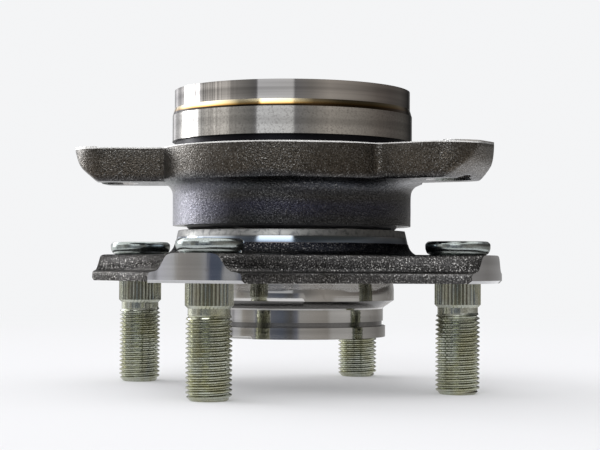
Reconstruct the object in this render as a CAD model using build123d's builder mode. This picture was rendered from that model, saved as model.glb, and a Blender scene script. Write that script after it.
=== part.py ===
"""Flanged wheel hub bearing, driven type, for a four-stud wheel.

The origin is on the bearing axis in the plane of the rotor face. +Z runs towards the knuckle,
so the wheel studs point down and their ends are the lowest points. All lengths are millimetres.
"""
import os
from math import acos, atan2, cos, degrees, pi, radians, sin

from build123d import *

# ---- wheel studs ------------------------------------------------------------------------------
STUD_COUNT = 4
STUD_CIRCLE_R = 50.0            # wheel stud pitch circle, 100 mm across
STUD_FIRST_ANGLE = -24.5        # direction of the first stud from +X
STUD_THREAD_R = 6.0             # M12 major radius
STUD_REACH = 30.0               # stud end below the rotor face
STUD_HEAD_R = 8.9
STUD_HEAD_T = 3.9
STUD_HEAD_EDGE = 1.1            # rounding of the head's top rim
STUD_HEAD_UNDERCUT = 1.5        # rounding of the head's lower rim
STUD_NECK_RELIEF = 0.5          # neck below the thread's major radius
STUD_NECK_L = 1.5
STUD_TIP_CHAMFER = 1.2
KNURL_TEETH = 36
KNURL_RISE = 0.3                # knurl tips above the thread's major radius
KNURL_DEPTH = 0.3
KNURL_REACH = 6.5               # knurl end below the rotor face
KNURL_BITE = 0.15               # how far the knurl tips cut into the flange
KNURL_FLAT = 0.3                # share of the pitch that is flat at a tip and at a root
STUD_BORE_CHAMFER = 0.5

# ---- hub flange, above the rotor face -----------------------------------------------------------
FLANGE_MARGIN = 10.0            # turned outside of the arms beyond the stud circle
FLANGE_EDGE = 0.8               # chamfer between the rotor face and the turned outside
RIM_T = 2.8                     # lower, wider rim of the star
RIM_PAD_R = 15.8                # rim around each stud
RIM_VALLEY_R = 43.0             # rim halfway between two studs
BOSS_T = 4.8                    # forged boss on the rim, up to the stud heads
BOSS_PAD_R = 11.8               # boss around each stud, at its top
BOSS_VALLEY_R = 39.0
BOSS_DRAFT = 1.8                # how much the boss spreads towards its foot
BOSS_EDGE = 0.8

# ---- hub shoulder, facing the outer ring ---------------------------------------------------------
SHOULDER_H = 14.5               # shoulder face above the rotor face
SHOULDER_INSET = 1.6            # shoulder inside the outer ring's body
SHOULDER_BAND = 3.9             # turned part of the shoulder
SHOULDER_SPREAD = 0.9           # widening of the turned part towards its foot
FLARE_SPREAD = 5.1              # widening of the forged foot below it

# ---- pilots on the wheel side --------------------------------------------------------------------
BRAKE_PILOT_R = 29.35
BRAKE_PILOT_L = 5.0
PILOT_CONE_L = 2.0
WHEEL_PILOT_R = 26.9
PILOT_RELIEF = 0.65             # upper stretch of the wheel pilot below its gauge radius
PILOT_RELIEF_L = 3.8
GROOVE_DEPTH = 0.35
GROOVE_L = 1.4
WHEEL_PILOT_L = 3.1
WHEEL_PILOT_EDGE = 0.8
RECESS_R = 21.5                 # room for the axle nut and its socket
RECESS_FLOOR = 1.5              # nut seat above the rotor face
RECESS_FLOOR_FILLET = 2.0
RECESS_MOUTH = 1.2

# ---- driven bore -----------------------------------------------------------------------------------
SPLINE_TEETH = 26
SPLINE_MAJOR_R = 12.7
SPLINE_TOOTH_H = 1.2
SPLINE_ROOT_SHARE = 0.42        # flat of a root and of a tip, as shares of the pitch
SPLINE_TIP_SHARE = 0.4
SPLINE_LEAD_IN = 1.6

# ---- ball rows ---------------------------------------------------------------------------------------
BALL_COUNT = 13
BALL_R = 5.0
PITCH_R = 25.5                  # circle through the ball centres
ROW_INSET = 9.7                 # outboard row inside the outer ring's end
ROW_SPACING = 17.5
CONTACT_ANGLE = 40.0
GROOVE_CONFORM = 0.2            # raceway groove radius beyond the ball's
BALL_CLEARANCE = 0.1
OUTER_LAND_RISE = 2.1           # bore between the outer raceways, beyond the ball circle
INNER_SHOULDER_DROP = 1.0       # inner shoulders that carry the seals, inside the ball circle

# ---- outer ring --------------------------------------------------------------------------------------
RING_GAP = 1.3                  # from the hub's shoulder to the outer ring
SEAL_BORE_STEP = 0.3            # seal bore beyond the balls
BODY_WALL = 3.2                 # body outside the seal bore
BODY_L = 12.2
FLANGE_RING_RISE = 2.7          # flange between the ears, beyond the body
RING_COVE = 3.4                 # hollow between the flange's underside and the body
EAR_T = 9.6
EAR_RAW_PROUD = 0.3             # forged tips left above the turned face
EAR_HOLE_CIRCLE_R = 50.5
EAR_HALF_W = 12.0
EAR_TURNED_LAP = 5.1            # turned face past the hole circle
EAR_ROOT_FILLET = 4.0
EAR_EDGE = 0.7
EAR_ANGLES = (178.0, -33.0, 72.5)
EAR_RELIEF_LAP = 4.9            # where the sloping tips leave the underside, past the hole circle
EAR_KNEE_LAP = 9.8              # bend of that slope past the hole circle
EAR_KNEE_H = 4.2                # and above the underside
EAR_TAP_R = 5.35                # tapping size for M12
EAR_TAP_CHAMFER = 0.8
SPIGOT_RISE = 0.3               # ground spigot beyond the body
SPIGOT_UNDERCUT_DEPTH = 1.1
SPIGOT_UNDERCUT_L = 2.1
SPIGOT_BAND_L = 7.3
SPIGOT_TAPER_L = 2.0
SPIGOT_TAPER_DROP = 0.6
SPIGOT_LEAD_L = 5.2
SPIGOT_EDGE = 0.5

# ---- inner ring and rolled nose ------------------------------------------------------------------------
INNER_RING_WALL = 2.8           # inner ring under the bottom of its raceway
INNER_RING_GAP = 1.15           # its end past the middle plane between the rows
INNER_RING_INSET = 2.2          # its other end inside the spigot's end
INNER_RING_EDGE = 1.0
NOSE_LAP = 4.4                  # rolled nose over the inner ring's end
NOSE_L = 3.4

# ---- cages ---------------------------------------------------------------------------------------------
CAGE_RIM_GAP = 1.1              # from the cage's rim to the middle plane between the rows
CAGE_TIP = 3.2                  # reach of the fingers past the ball centres
CAGE_BAND_T = 5.2               # radial thickness of the band
CAGE_INNER_DROP = 3.9           # band's inside within the ball circle
CAGE_FLARE = 1.4                # how far the fingers lean outwards
POCKET_CLEARANCE = 0.22

# ---- seals -----------------------------------------------------------------------------------------------
SEAL_SEAT_DEPTH = 5.0
SEAL_SHEET = 0.8
SEAL_INSET = 0.5
SEAL_CASE_L = 3.9
SEAL_FLANGE_W = 3.6             # radial width of the case's inward flange
LIP_CLEARANCE = 0.2
LIP_T = 0.7
SLINGER_GAP = 0.4               # between the slinger's rim and the case around it
SLINGER_SHEET = 0.6
ENCODER_T = 0.9

# ---- radii and heights that follow -------------------------------------------------------------------------
stud_angles = [STUD_FIRST_ANGLE + 360 / STUD_COUNT * i for i in range(STUD_COUNT)]
knurl_tip_r = STUD_THREAD_R + KNURL_RISE
stud_bore_r = knurl_tip_r - KNURL_BITE
neck_r = STUD_THREAD_R - STUD_NECK_RELIEF
flange_r = STUD_CIRCLE_R + FLANGE_MARGIN
boss_top = RIM_T + BOSS_T

groove_r = BALL_R + GROOVE_CONFORM
groove_shift = GROOVE_CONFORM - BALL_CLEARANCE
groove_shift_r = groove_shift * cos(radians(CONTACT_ANGLE))
groove_shift_z = groove_shift * sin(radians(CONTACT_ANGLE))
inner_race_r = PITCH_R + groove_shift_r - groove_r
inner_shoulder_r = PITCH_R - INNER_SHOULDER_DROP
outer_land_r = PITCH_R + OUTER_LAND_RISE
inner_seat_r = inner_race_r - INNER_RING_WALL
seal_bore_r = PITCH_R + BALL_R + SEAL_BORE_STEP
body_r = seal_bore_r + BODY_WALL
flange_ring_r = body_r + FLANGE_RING_RISE
spigot_r = body_r + SPIGOT_RISE
shoulder_r = body_r - SHOULDER_INSET

ring_end = SHOULDER_H + RING_GAP
ear_underside = ring_end + BODY_L
ear_face = ear_underside + EAR_T
spigot_start = ear_face + SPIGOT_UNDERCUT_L
spigot_step = spigot_start + SPIGOT_BAND_L
spigot_end = spigot_step + SPIGOT_TAPER_L + SPIGOT_LEAD_L
outboard_row_z = ring_end + ROW_INSET
inboard_row_z = outboard_row_z + ROW_SPACING
row_middle_z = outboard_row_z + ROW_SPACING / 2
inner_ring_start = row_middle_z + INNER_RING_GAP
inner_ring_end = spigot_end - INNER_RING_INSET
nose_end = inner_ring_end + NOSE_L

os.makedirs("parts", exist_ok=True)


def polar(radius: float, angle: float) -> tuple[float, float]:
    """Point at a radius and an angle in degrees."""
    return (radius * cos(radians(angle)), radius * sin(radians(angle)))


def star_face(pad_r: float, valley_r: float, height: float) -> Sketch:
    """Star outline: a round pad about each stud, joined by hollow arcs tangent to the pads."""
    half_step = pi / STUD_COUNT
    across = STUD_CIRCLE_R * sin(half_step)
    span = valley_r - STUD_CIRCLE_R * cos(half_step)
    hollow_r = (span**2 + across**2 - pad_r**2) / (2 * (pad_r - span))
    turn = 180 / STUD_COUNT + degrees(atan2(across, hollow_r + span))
    with BuildSketch(Plane.XY.offset(height)) as star:
        with BuildLine():
            for angle in stud_angles:
                next_angle = angle + 360 / STUD_COUNT
                centre = Vector(*polar(STUD_CIRCLE_R, angle))
                next_centre = Vector(*polar(STUD_CIRCLE_R, next_angle))
                start, top, end = (centre + Vector(*polar(pad_r, angle + t)) for t in (-turn, 0, turn))
                ThreePointArc(start, top, end)
                valley = polar(valley_r, angle + 180 / STUD_COUNT)
                ThreePointArc(end, valley, next_centre + Vector(*polar(pad_r, next_angle - turn)))
        make_face()
    return star.sketch


def toothed_points(teeth: int, root_r: float, tip_r: float, root_share: float, tip_share: float):
    """Corners of a ring of straight-sided teeth, with flats at the roots and at the tips."""
    points = []
    step = 360 / teeth
    for i in range(teeth):
        for share in (-root_share, root_share):
            points.append(polar(root_r, step * (i + share / 2)))
        for share in (1 - tip_share, 1 + tip_share):
            points.append(polar(tip_r, step * (i + share / 2)))
    return points


def groove_arc(row_z: float, side: int, inward: int, edge_r: float) -> list[Vector]:
    """Start, middle and end of a raceway groove, from its bottom to a land or shoulder.

    side is 1 for an outer raceway and -1 for an inner one. inward is the direction along Z from
    the row towards the middle of the bearing.
    """
    centre = Vector(PITCH_R - side * groove_shift_r, row_z - side * inward * groove_shift_z)
    climb = acos((edge_r - centre.X) / (side * groove_r))
    return [
        centre + Vector(side * groove_r * cos(climb * share), side * inward * groove_r * sin(climb * share))
        for share in (0, 0.5, 1)
    ]


# ---- outer ring: body, spigot, three ears and the outer raceways ----------------------------------
ear_tip_r = EAR_HOLE_CIRCLE_R + EAR_HALF_W
with BuildPart() as outer_ring:
    with BuildSketch(Plane.XY.offset(ear_underside)) as ears:
        Circle(flange_ring_r)
        for ear_angle in EAR_ANGLES:
            with Locations(Location((*polar(EAR_HOLE_CIRCLE_R / 2, ear_angle), 0), (0, 0, ear_angle))):
                Rectangle(EAR_HOLE_CIRCLE_R, 2 * EAR_HALF_W)
            with Locations(polar(EAR_HOLE_CIRCLE_R, ear_angle)):
                Circle(EAR_HALF_W)
        roots = [v for v in ears.vertices() if abs(Vector(v).length - flange_ring_r) < EAR_EDGE]
        fillet(roots, EAR_ROOT_FILLET)
    extrude(amount=EAR_T + EAR_RAW_PROUD)
    fillet(faces().sort_by(Axis.Z)[0].outer_wire().edges(), EAR_EDGE)
    with BuildSketch(Plane.XZ) as relief:
        with BuildLine():
            relief_start = (EAR_HOLE_CIRCLE_R + EAR_RELIEF_LAP, ear_underside)
            knee = (EAR_HOLE_CIRCLE_R + EAR_KNEE_LAP, ear_underside + EAR_KNEE_H)
            relief_top = ear_face + 2 * EAR_RAW_PROUD
            Polyline(
                relief_start, knee, (ear_tip_r, relief_top), (ear_tip_r + EAR_HALF_W, relief_top),
                (ear_tip_r + EAR_HALF_W, ear_underside - EAR_EDGE),
                (EAR_HOLE_CIRCLE_R + EAR_RELIEF_LAP, ear_underside - EAR_EDGE), close=True,
            )
        make_face()
        fillet(relief.vertices().sort_by_distance(knee)[0], 2 * RING_COVE)
    revolve(axis=Axis.Z, mode=Mode.SUBTRACT)
    with BuildSketch(Plane.XZ) as body_profile:
        with BuildLine():
            cove_foot = (body_r, ear_underside - RING_COVE)
            cove_top = (body_r + RING_COVE, ear_underside)
            undercut_r = spigot_r - SPIGOT_UNDERCUT_DEPTH
            lead_r = spigot_r - SPIGOT_TAPER_DROP
            Polyline((0, ring_end), (body_r, ring_end), cove_foot)
            RadiusArc(cove_foot, cove_top, RING_COVE)
            Polyline(
                cove_top, (cove_top[0], ear_face), (undercut_r, ear_face), (undercut_r, spigot_start),
                (spigot_r, spigot_start), (spigot_r, spigot_step), (lead_r, spigot_step + SPIGOT_TAPER_L),
                (lead_r, spigot_end), (0, spigot_end), (0, ring_end),
            )
        make_face()
        lead_corner = body_profile.vertices().group_by(Axis.Y)[-1].sort_by(Axis.X)[-1]
        chamfer(lead_corner, SPIGOT_EDGE)
    revolve(axis=Axis.Z)
    with BuildSketch(Plane.XY.offset(ear_face)):
        Circle(EAR_HOLE_CIRCLE_R + EAR_TURNED_LAP)
        Circle(undercut_r, mode=Mode.SUBTRACT)
    extrude(amount=EAR_RAW_PROUD, mode=Mode.SUBTRACT)
    with BuildSketch(Plane.XZ):
        with BuildLine():
            low_seat = ring_end + SEAL_SEAT_DEPTH
            high_seat = spigot_end - SEAL_SEAT_DEPTH
            low_bottom, low_side, low_land = groove_arc(outboard_row_z, 1, 1, outer_land_r)
            high_bottom, high_side, high_land = groove_arc(inboard_row_z, 1, -1, outer_land_r)
            Polyline(
                (0, ring_end), (seal_bore_r, ring_end), (seal_bore_r, low_seat), (low_bottom.X, low_seat),
                low_bottom,
            )
            ThreePointArc(low_bottom, low_side, low_land)
            Line(low_land, high_land)
            ThreePointArc(high_land, high_side, high_bottom)
            Polyline(
                high_bottom, (high_bottom.X, high_seat), (seal_bore_r, high_seat), (seal_bore_r, spigot_end),
                (0, spigot_end), (0, ring_end),
            )
        make_face()
    revolve(axis=Axis.Z, mode=Mode.SUBTRACT)
    with BuildSketch(Plane.XZ) as tap_profile:
        with BuildLine():
            tap_mouth_r = EAR_TAP_R + EAR_TAP_CHAMFER
            tap_start = ear_underside + EAR_TAP_CHAMFER
            tap_end = ear_face - EAR_TAP_CHAMFER
            Polyline(
                (0, ear_underside), (tap_mouth_r, ear_underside), (EAR_TAP_R, tap_start),
                (EAR_TAP_R, tap_end), (tap_mouth_r, ear_face), (0, ear_face), close=True,
            )
        make_face()
    tap = revolve(tap_profile.sketch, axis=Axis.Z, mode=Mode.PRIVATE)
    with Locations([polar(EAR_HOLE_CIRCLE_R, ear_angle) for ear_angle in EAR_ANGLES]):
        add(tap, mode=Mode.SUBTRACT)
outer_ring.part.label = "outer_ring"
export_step(outer_ring.part, "parts/outer_ring.step")

# ---- hub: star flange, pilots, inner raceway, rolled nose and splined bore -------------------------
with BuildPart() as hub:
    add(star_face(RIM_PAD_R, RIM_VALLEY_R, 0))
    extrude(amount=RIM_T)
    add(star_face(BOSS_PAD_R + BOSS_DRAFT, BOSS_VALLEY_R + BOSS_DRAFT, RIM_T))
    add(star_face(BOSS_PAD_R, BOSS_VALLEY_R, boss_top))
    loft(ruled=True)
    fillet(faces().sort_by(Axis.Z)[-1].outer_wire().edges(), BOSS_EDGE)
    with BuildSketch(Plane.XZ) as turned_outside:
        Rectangle(flange_r, boss_top, align=(Align.MIN, Align.MIN))
        chamfer(turned_outside.vertices().group_by(Axis.X)[-1].sort_by(Axis.Y)[0], FLANGE_EDGE)
    revolve(axis=Axis.Z, mode=Mode.INTERSECT)
    with BuildSketch(Plane.XZ):
        with BuildLine():
            foot_r = shoulder_r + SHOULDER_SPREAD
            foot_z = SHOULDER_H - SHOULDER_BAND
            flare_r = foot_r + FLARE_SPREAD
            flare_middle = (foot_r + FLARE_SPREAD * 0.22, boss_top + (foot_z - boss_top) * 0.3)
            race_bottom, race_side, race_edge = groove_arc(outboard_row_z, -1, 1, inner_shoulder_r)
            nose_r = inner_seat_r + NOSE_LAP
            Polyline((0, 0), (flare_r, 0), (flare_r, boss_top))
            ThreePointArc((flare_r, boss_top), flare_middle, (foot_r, foot_z))
            Polyline((foot_r, foot_z), (shoulder_r, SHOULDER_H), (inner_shoulder_r, SHOULDER_H), race_edge)
            ThreePointArc(race_edge, race_side, race_bottom)
            Polyline(
                race_bottom, (race_bottom.X, inner_ring_start), (inner_seat_r, inner_ring_start),
                (inner_seat_r, inner_ring_end), (nose_r, inner_ring_end), (nose_r, nose_end),
                (0, nose_end), (0, 0),
            )
        make_face()
    revolve(axis=Axis.Z)
    nose_rim = edges().filter_by(GeomType.CIRCLE).group_by(Axis.Z)[-1].sort_by(SortBy.RADIUS)[-1]
    fillet(nose_rim, NOSE_L / 2)
    with BuildSketch(Plane.XZ) as pilot_profile:
        with BuildLine():
            relief_r = WHEEL_PILOT_R - PILOT_RELIEF
            groove_floor_r = relief_r - GROOVE_DEPTH
            cone_end = -BRAKE_PILOT_L - PILOT_CONE_L
            groove_start = cone_end - PILOT_RELIEF_L
            groove_end = groove_start - GROOVE_L
            pilot_end = groove_end - WHEEL_PILOT_L
            Polyline(
                (0, 0), (BRAKE_PILOT_R, 0), (BRAKE_PILOT_R, -BRAKE_PILOT_L), (relief_r, cone_end),
                (relief_r, groove_start), (groove_floor_r, groove_start), (groove_floor_r, groove_end),
                (WHEEL_PILOT_R, groove_end), (WHEEL_PILOT_R, pilot_end), (0, pilot_end), close=True,
            )
        make_face()
        fillet(pilot_profile.vertices().group_by(Axis.Y)[0].sort_by(Axis.X)[-1], WHEEL_PILOT_EDGE)
    revolve(axis=Axis.Z)
    with BuildSketch(Plane.XZ) as recess_profile:
        with BuildLine():
            mouth_r = RECESS_R + RECESS_MOUTH
            Polyline(
                (0, pilot_end), (mouth_r, pilot_end), (RECESS_R, pilot_end + RECESS_MOUTH),
                (RECESS_R, RECESS_FLOOR), (0, RECESS_FLOOR), close=True,
            )
        make_face()
        recess_corner = recess_profile.vertices().group_by(Axis.Y)[-1].sort_by(Axis.X)[-1]
        fillet(recess_corner, RECESS_FLOOR_FILLET)
    revolve(axis=Axis.Z, mode=Mode.SUBTRACT)
    with BuildSketch(Plane.XY.offset(RECESS_FLOOR)):
        with BuildLine():
            spline_minor_r = SPLINE_MAJOR_R - SPLINE_TOOTH_H
            teeth = toothed_points(
                SPLINE_TEETH, SPLINE_MAJOR_R, spline_minor_r, SPLINE_ROOT_SHARE, SPLINE_TIP_SHARE
            )
            Polyline(*teeth, close=True)
        make_face()
    extrude(amount=nose_end - RECESS_FLOOR, mode=Mode.SUBTRACT)
    with BuildSketch(Plane.XZ):
        with BuildLine():
            lead_in_r = spline_minor_r + SPLINE_LEAD_IN
            Polyline(
                (0, RECESS_FLOOR), (lead_in_r, RECESS_FLOOR), (spline_minor_r, RECESS_FLOOR + SPLINE_LEAD_IN),
                (spline_minor_r, nose_end - SPLINE_LEAD_IN), (lead_in_r, nose_end), (0, nose_end), close=True,
            )
        make_face()
    revolve(axis=Axis.Z, mode=Mode.SUBTRACT)
    with BuildSketch(Plane.XZ) as stud_bore_profile:
        with BuildLine():
            bore_mouth_r = stud_bore_r + STUD_BORE_CHAMFER
            Polyline(
                (0, 0), (bore_mouth_r, 0), (stud_bore_r, STUD_BORE_CHAMFER), (stud_bore_r, boss_top),
                (0, boss_top), close=True,
            )
        make_face()
    stud_bore = revolve(stud_bore_profile.sketch, axis=Axis.Z, mode=Mode.PRIVATE)
    with Locations([polar(STUD_CIRCLE_R, angle) for angle in stud_angles]):
        add(stud_bore, mode=Mode.SUBTRACT)
hub.part.label = "hub"
export_step(hub.part, "parts/hub.step")

# ---- wheel studs: head, serrated shank, neck and screw shank ----------------------------------------
with BuildPart() as stud_blank:
    with BuildSketch(Plane.XY.offset(-KNURL_REACH)):
        with BuildLine():
            serrations = toothed_points(
                KNURL_TEETH, knurl_tip_r - KNURL_DEPTH, knurl_tip_r, KNURL_FLAT, KNURL_FLAT
            )
            Polyline(*serrations, close=True)
        make_face()
    extrude(amount=boss_top + KNURL_REACH)
    with BuildSketch(Plane.XZ):
        with BuildLine():
            knurl_cone_end = knurl_tip_r - neck_r - KNURL_REACH
            Polyline(
                (0, -KNURL_REACH), (neck_r, -KNURL_REACH), (knurl_tip_r, knurl_cone_end),
                (knurl_tip_r, boss_top), (0, boss_top), close=True,
            )
        make_face()
    revolve(axis=Axis.Z, mode=Mode.INTERSECT)
    with BuildSketch(Plane.XZ) as head_profile:
        with Locations((0, boss_top)):
            Rectangle(STUD_HEAD_R, STUD_HEAD_T, align=(Align.MIN, Align.MIN))
        fillet(head_profile.vertices().sort_by_distance((STUD_HEAD_R, boss_top))[0], STUD_HEAD_UNDERCUT)
        head_top = (STUD_HEAD_R, boss_top + STUD_HEAD_T)
        fillet(head_profile.vertices().sort_by_distance(head_top)[0], STUD_HEAD_EDGE)
    revolve(axis=Axis.Z)
    with BuildSketch(Plane.XZ):
        with BuildLine():
            neck_end = -KNURL_REACH - STUD_NECK_L
            Polyline(
                (0, -KNURL_REACH), (neck_r, -KNURL_REACH), (neck_r, neck_end),
                (STUD_THREAD_R, neck_end - STUD_NECK_RELIEF), (STUD_THREAD_R, STUD_TIP_CHAMFER - STUD_REACH),
                (STUD_THREAD_R - STUD_TIP_CHAMFER, -STUD_REACH), (0, -STUD_REACH), close=True,
            )
        make_face()
    revolve(axis=Axis.Z)

for stud_number, stud_angle in enumerate(stud_angles, start=1):
    with BuildPart() as wheel_stud:
        with Locations(polar(STUD_CIRCLE_R, stud_angle)):
            add(stud_blank.part)
    wheel_stud.part.label = f"wheel_stud_{stud_number}"
    export_step(wheel_stud.part, f"parts/wheel_stud_{stud_number}.step")

# ---- inner ring, pressed on the hub's seat and held by the rolled nose ------------------------------
with BuildPart() as inner_ring:
    with BuildSketch(Plane.XZ) as inner_profile:
        with BuildLine():
            race_bottom, race_side, race_edge = groove_arc(inboard_row_z, -1, -1, inner_shoulder_r)
            Polyline(
                race_bottom, (race_bottom.X, inner_ring_start), (inner_seat_r, inner_ring_start),
                (inner_seat_r, inner_ring_end), (inner_shoulder_r, inner_ring_end), race_edge,
            )
            ThreePointArc(race_edge, race_side, race_bottom)
        make_face()
        chamfer(inner_profile.vertices().group_by(Axis.Y)[-1].sort_by(Axis.X)[-1], INNER_RING_EDGE)
    revolve(axis=Axis.Z)
inner_ring.part.label = "inner_ring"
export_step(inner_ring.part, "parts/inner_ring.step")

# ---- two rows of balls in snap-in cages; the cage rims face each other ------------------------------
cage_inner_r = PITCH_R - CAGE_INNER_DROP
cage_outer_r = cage_inner_r + CAGE_BAND_T
for row, row_z, inward in (("outboard", outboard_row_z, 1), ("inboard", inboard_row_z, -1)):
    for ball_index in range(BALL_COUNT):
        ball_name = f"{row}_ball_{ball_index + 1:02d}"
        with BuildPart() as ball:
            with Locations((*polar(PITCH_R, 360 / BALL_COUNT * ball_index), row_z)):
                Sphere(BALL_R)
        ball.part.label = ball_name
        export_step(ball.part, f"parts/{ball_name}.step")
    with BuildPart() as cage:
        with BuildSketch(Plane.XZ):
            with BuildLine():
                rim_z = row_middle_z - inward * CAGE_RIM_GAP
                tip_z = row_z - inward * CAGE_TIP
                Polyline(
                    (cage_inner_r, rim_z), (cage_outer_r, rim_z), (cage_outer_r, row_z + inward * CAGE_TIP),
                    (cage_outer_r + CAGE_FLARE, tip_z), (cage_inner_r + CAGE_FLARE, tip_z),
                    (cage_inner_r, row_z), close=True,
                )
            make_face()
        revolve(axis=Axis.Z)
        with Locations(Plane.XY.offset(row_z)):
            with PolarLocations(PITCH_R, BALL_COUNT):
                Sphere(BALL_R + POCKET_CLEARANCE, mode=Mode.SUBTRACT)
    cage.part.label = f"{row}_cage"
    export_step(cage.part, f"parts/{row}_cage.step")

# ---- outboard seal: pressed case, and a rubber lip that rides on the hub ----------------------------
case_inner_r = seal_bore_r - SEAL_SHEET
web_inner_r = seal_bore_r - SEAL_FLANGE_W
case_start = ring_end + SEAL_INSET
case_end = case_start + SEAL_CASE_L
web_z = case_end - SEAL_SHEET
with BuildPart() as outboard_seal_case:
    with BuildSketch(Plane.XZ):
        with BuildLine():
            Polyline(
                (case_inner_r, case_start), (seal_bore_r, case_start), (seal_bore_r, case_end),
                (web_inner_r, case_end), (web_inner_r, web_z), (case_inner_r, web_z), close=True,
            )
        make_face()
    revolve(axis=Axis.Z)
outboard_seal_case.part.label = "outboard_seal_case"
export_step(outboard_seal_case.part, "parts/outboard_seal_case.step")

with BuildPart() as outboard_seal_lip:
    with BuildSketch(Plane.XZ):
        with BuildLine():
            land_r = inner_shoulder_r + LIP_CLEARANCE
            face_z = SHOULDER_H + LIP_CLEARANCE
            heel_z = web_z - LIP_T
            lip_root_r = web_inner_r - LIP_T
            lip_back_z = case_end + LIP_T / 2
            Polyline(
                (case_inner_r, web_z), (case_inner_r, face_z + LIP_T), (case_inner_r - LIP_T, face_z),
                (case_inner_r - 2 * LIP_T, heel_z), (web_inner_r, heel_z), (land_r, face_z + 2 * LIP_T),
                (land_r, face_z + 3 * LIP_T), (lip_root_r, heel_z + LIP_T), (land_r, case_end),
                (lip_root_r, lip_back_z), (web_inner_r, lip_back_z), (web_inner_r, web_z), close=True,
            )
        make_face()
    revolve(axis=Axis.Z)
outboard_seal_lip.part.label = "outboard_seal_lip"
export_step(outboard_seal_lip.part, "parts/outboard_seal_lip.step")

# ---- inboard cassette seal: case, slinger, encoder ring and lip --------------------------------------
slinger_face = spigot_end - SEAL_INSET - ENCODER_T
slinger_back = slinger_face - SLINGER_SHEET
slinger_r = case_inner_r - SLINGER_GAP
sleeve_r = inner_shoulder_r + SLINGER_SHEET
cassette_start = spigot_end - SEAL_INSET - SEAL_CASE_L - SLINGER_SHEET
cassette_web = cassette_start + SEAL_SHEET
with BuildPart() as inboard_seal_case:
    with BuildSketch(Plane.XZ):
        with BuildLine():
            rim_z = cassette_start + SEAL_CASE_L - SEAL_SHEET
            Polyline(
                (web_inner_r, cassette_start), (seal_bore_r, cassette_start), (seal_bore_r, rim_z),
                (case_inner_r, rim_z), (case_inner_r, cassette_web), (web_inner_r, cassette_web), close=True,
            )
        make_face()
    revolve(axis=Axis.Z)
inboard_seal_case.part.label = "inboard_seal_case"
export_step(inboard_seal_case.part, "parts/inboard_seal_case.step")

with BuildPart() as slinger:
    with BuildSketch(Plane.XZ):
        with BuildLine():
            Polyline(
                (inner_shoulder_r, cassette_web), (sleeve_r, cassette_web), (sleeve_r, slinger_back),
                (slinger_r, slinger_back), (slinger_r, slinger_face), (inner_shoulder_r, slinger_face),
                close=True,
            )
        make_face()
    revolve(axis=Axis.Z)
slinger.part.label = "slinger"
export_step(slinger.part, "parts/slinger.step")

with BuildPart() as encoder_ring:
    with BuildSketch(Plane.XY.offset(slinger_face)):
        Circle(slinger_r)
        Circle(sleeve_r + SLINGER_SHEET, mode=Mode.SUBTRACT)
    extrude(amount=ENCODER_T)
encoder_ring.part.label = "encoder_ring"
export_step(encoder_ring.part, "parts/encoder_ring.step")

with BuildPart() as inboard_seal_lip:
    with BuildSketch(Plane.XZ):
        with BuildLine():
            ride_r = sleeve_r + LIP_CLEARANCE
            Polyline(
                (web_inner_r, cassette_start), (web_inner_r, cassette_web), (case_inner_r, cassette_web),
                (case_inner_r, cassette_web + LIP_T), (case_inner_r - LIP_T, slinger_back - LIP_CLEARANCE),
                (web_inner_r + LIP_T, cassette_web + LIP_T), (ride_r, cassette_web + 2 * LIP_T),
                (ride_r, cassette_web + LIP_T), (web_inner_r - LIP_T, cassette_start), close=True,
            )
        make_face()
    revolve(axis=Axis.Z)
inboard_seal_lip.part.label = "inboard_seal_lip"
export_step(inboard_seal_lip.part, "parts/inboard_seal_lip.step")
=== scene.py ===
"""Looks of a flanged wheel hub bearing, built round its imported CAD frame.

The bearing axis is Z. The wheel studs point down and stand on the floor, and the spigot that goes
into the knuckle is at the top. Sizes in the classes are millimetres; meshes are in metres.
"""

import logging
import math
from collections.abc import Callable, Sequence
from dataclasses import dataclass
from enum import Enum
from functools import wraps

import bmesh
import bpy
from mathutils import Matrix, Vector, noise

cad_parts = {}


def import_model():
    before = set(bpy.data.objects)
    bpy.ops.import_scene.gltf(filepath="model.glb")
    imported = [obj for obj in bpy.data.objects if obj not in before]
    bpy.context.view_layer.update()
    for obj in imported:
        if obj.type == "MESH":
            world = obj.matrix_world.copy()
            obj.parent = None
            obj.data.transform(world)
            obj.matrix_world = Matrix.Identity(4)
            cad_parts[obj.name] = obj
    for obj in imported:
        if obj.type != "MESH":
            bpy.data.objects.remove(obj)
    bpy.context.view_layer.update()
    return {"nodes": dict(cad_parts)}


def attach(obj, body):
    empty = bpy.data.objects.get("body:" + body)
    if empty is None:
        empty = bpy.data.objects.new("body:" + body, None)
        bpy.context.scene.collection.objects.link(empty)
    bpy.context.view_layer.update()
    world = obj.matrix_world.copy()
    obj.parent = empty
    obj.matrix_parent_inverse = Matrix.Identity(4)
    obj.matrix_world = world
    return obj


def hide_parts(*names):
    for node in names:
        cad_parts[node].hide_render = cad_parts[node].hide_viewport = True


MM = 0.001
FULL_TURN = 2 * math.pi
SHARP_ANGLE = math.radians(30)
TURNED_SHARP_ANGLE = math.radians(14)
WELD = 1e-7
ROOM_SEEN = (0.905, 0.91, 0.92)

Mesh = bmesh.types.BMesh
Thing = bpy.types.Object
Node = bpy.types.Node
Socket = bpy.types.NodeSocket
Group = bpy.types.NodeTree
Tone = float | tuple[float, ...]
Stops = tuple[tuple[float, Tone], ...]
Drawing = Callable[["NodeSheet", bpy.types.NodeOutputs], dict[str, Socket]]
log = logging.getLogger("wheel_hub")


class Body(Enum):
    """The moving groups of the frame that carry new pieces."""

    KNUCKLE_SIDE = "knuckle_side"
    WHEEL_SIDE = "wheel_side"


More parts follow.
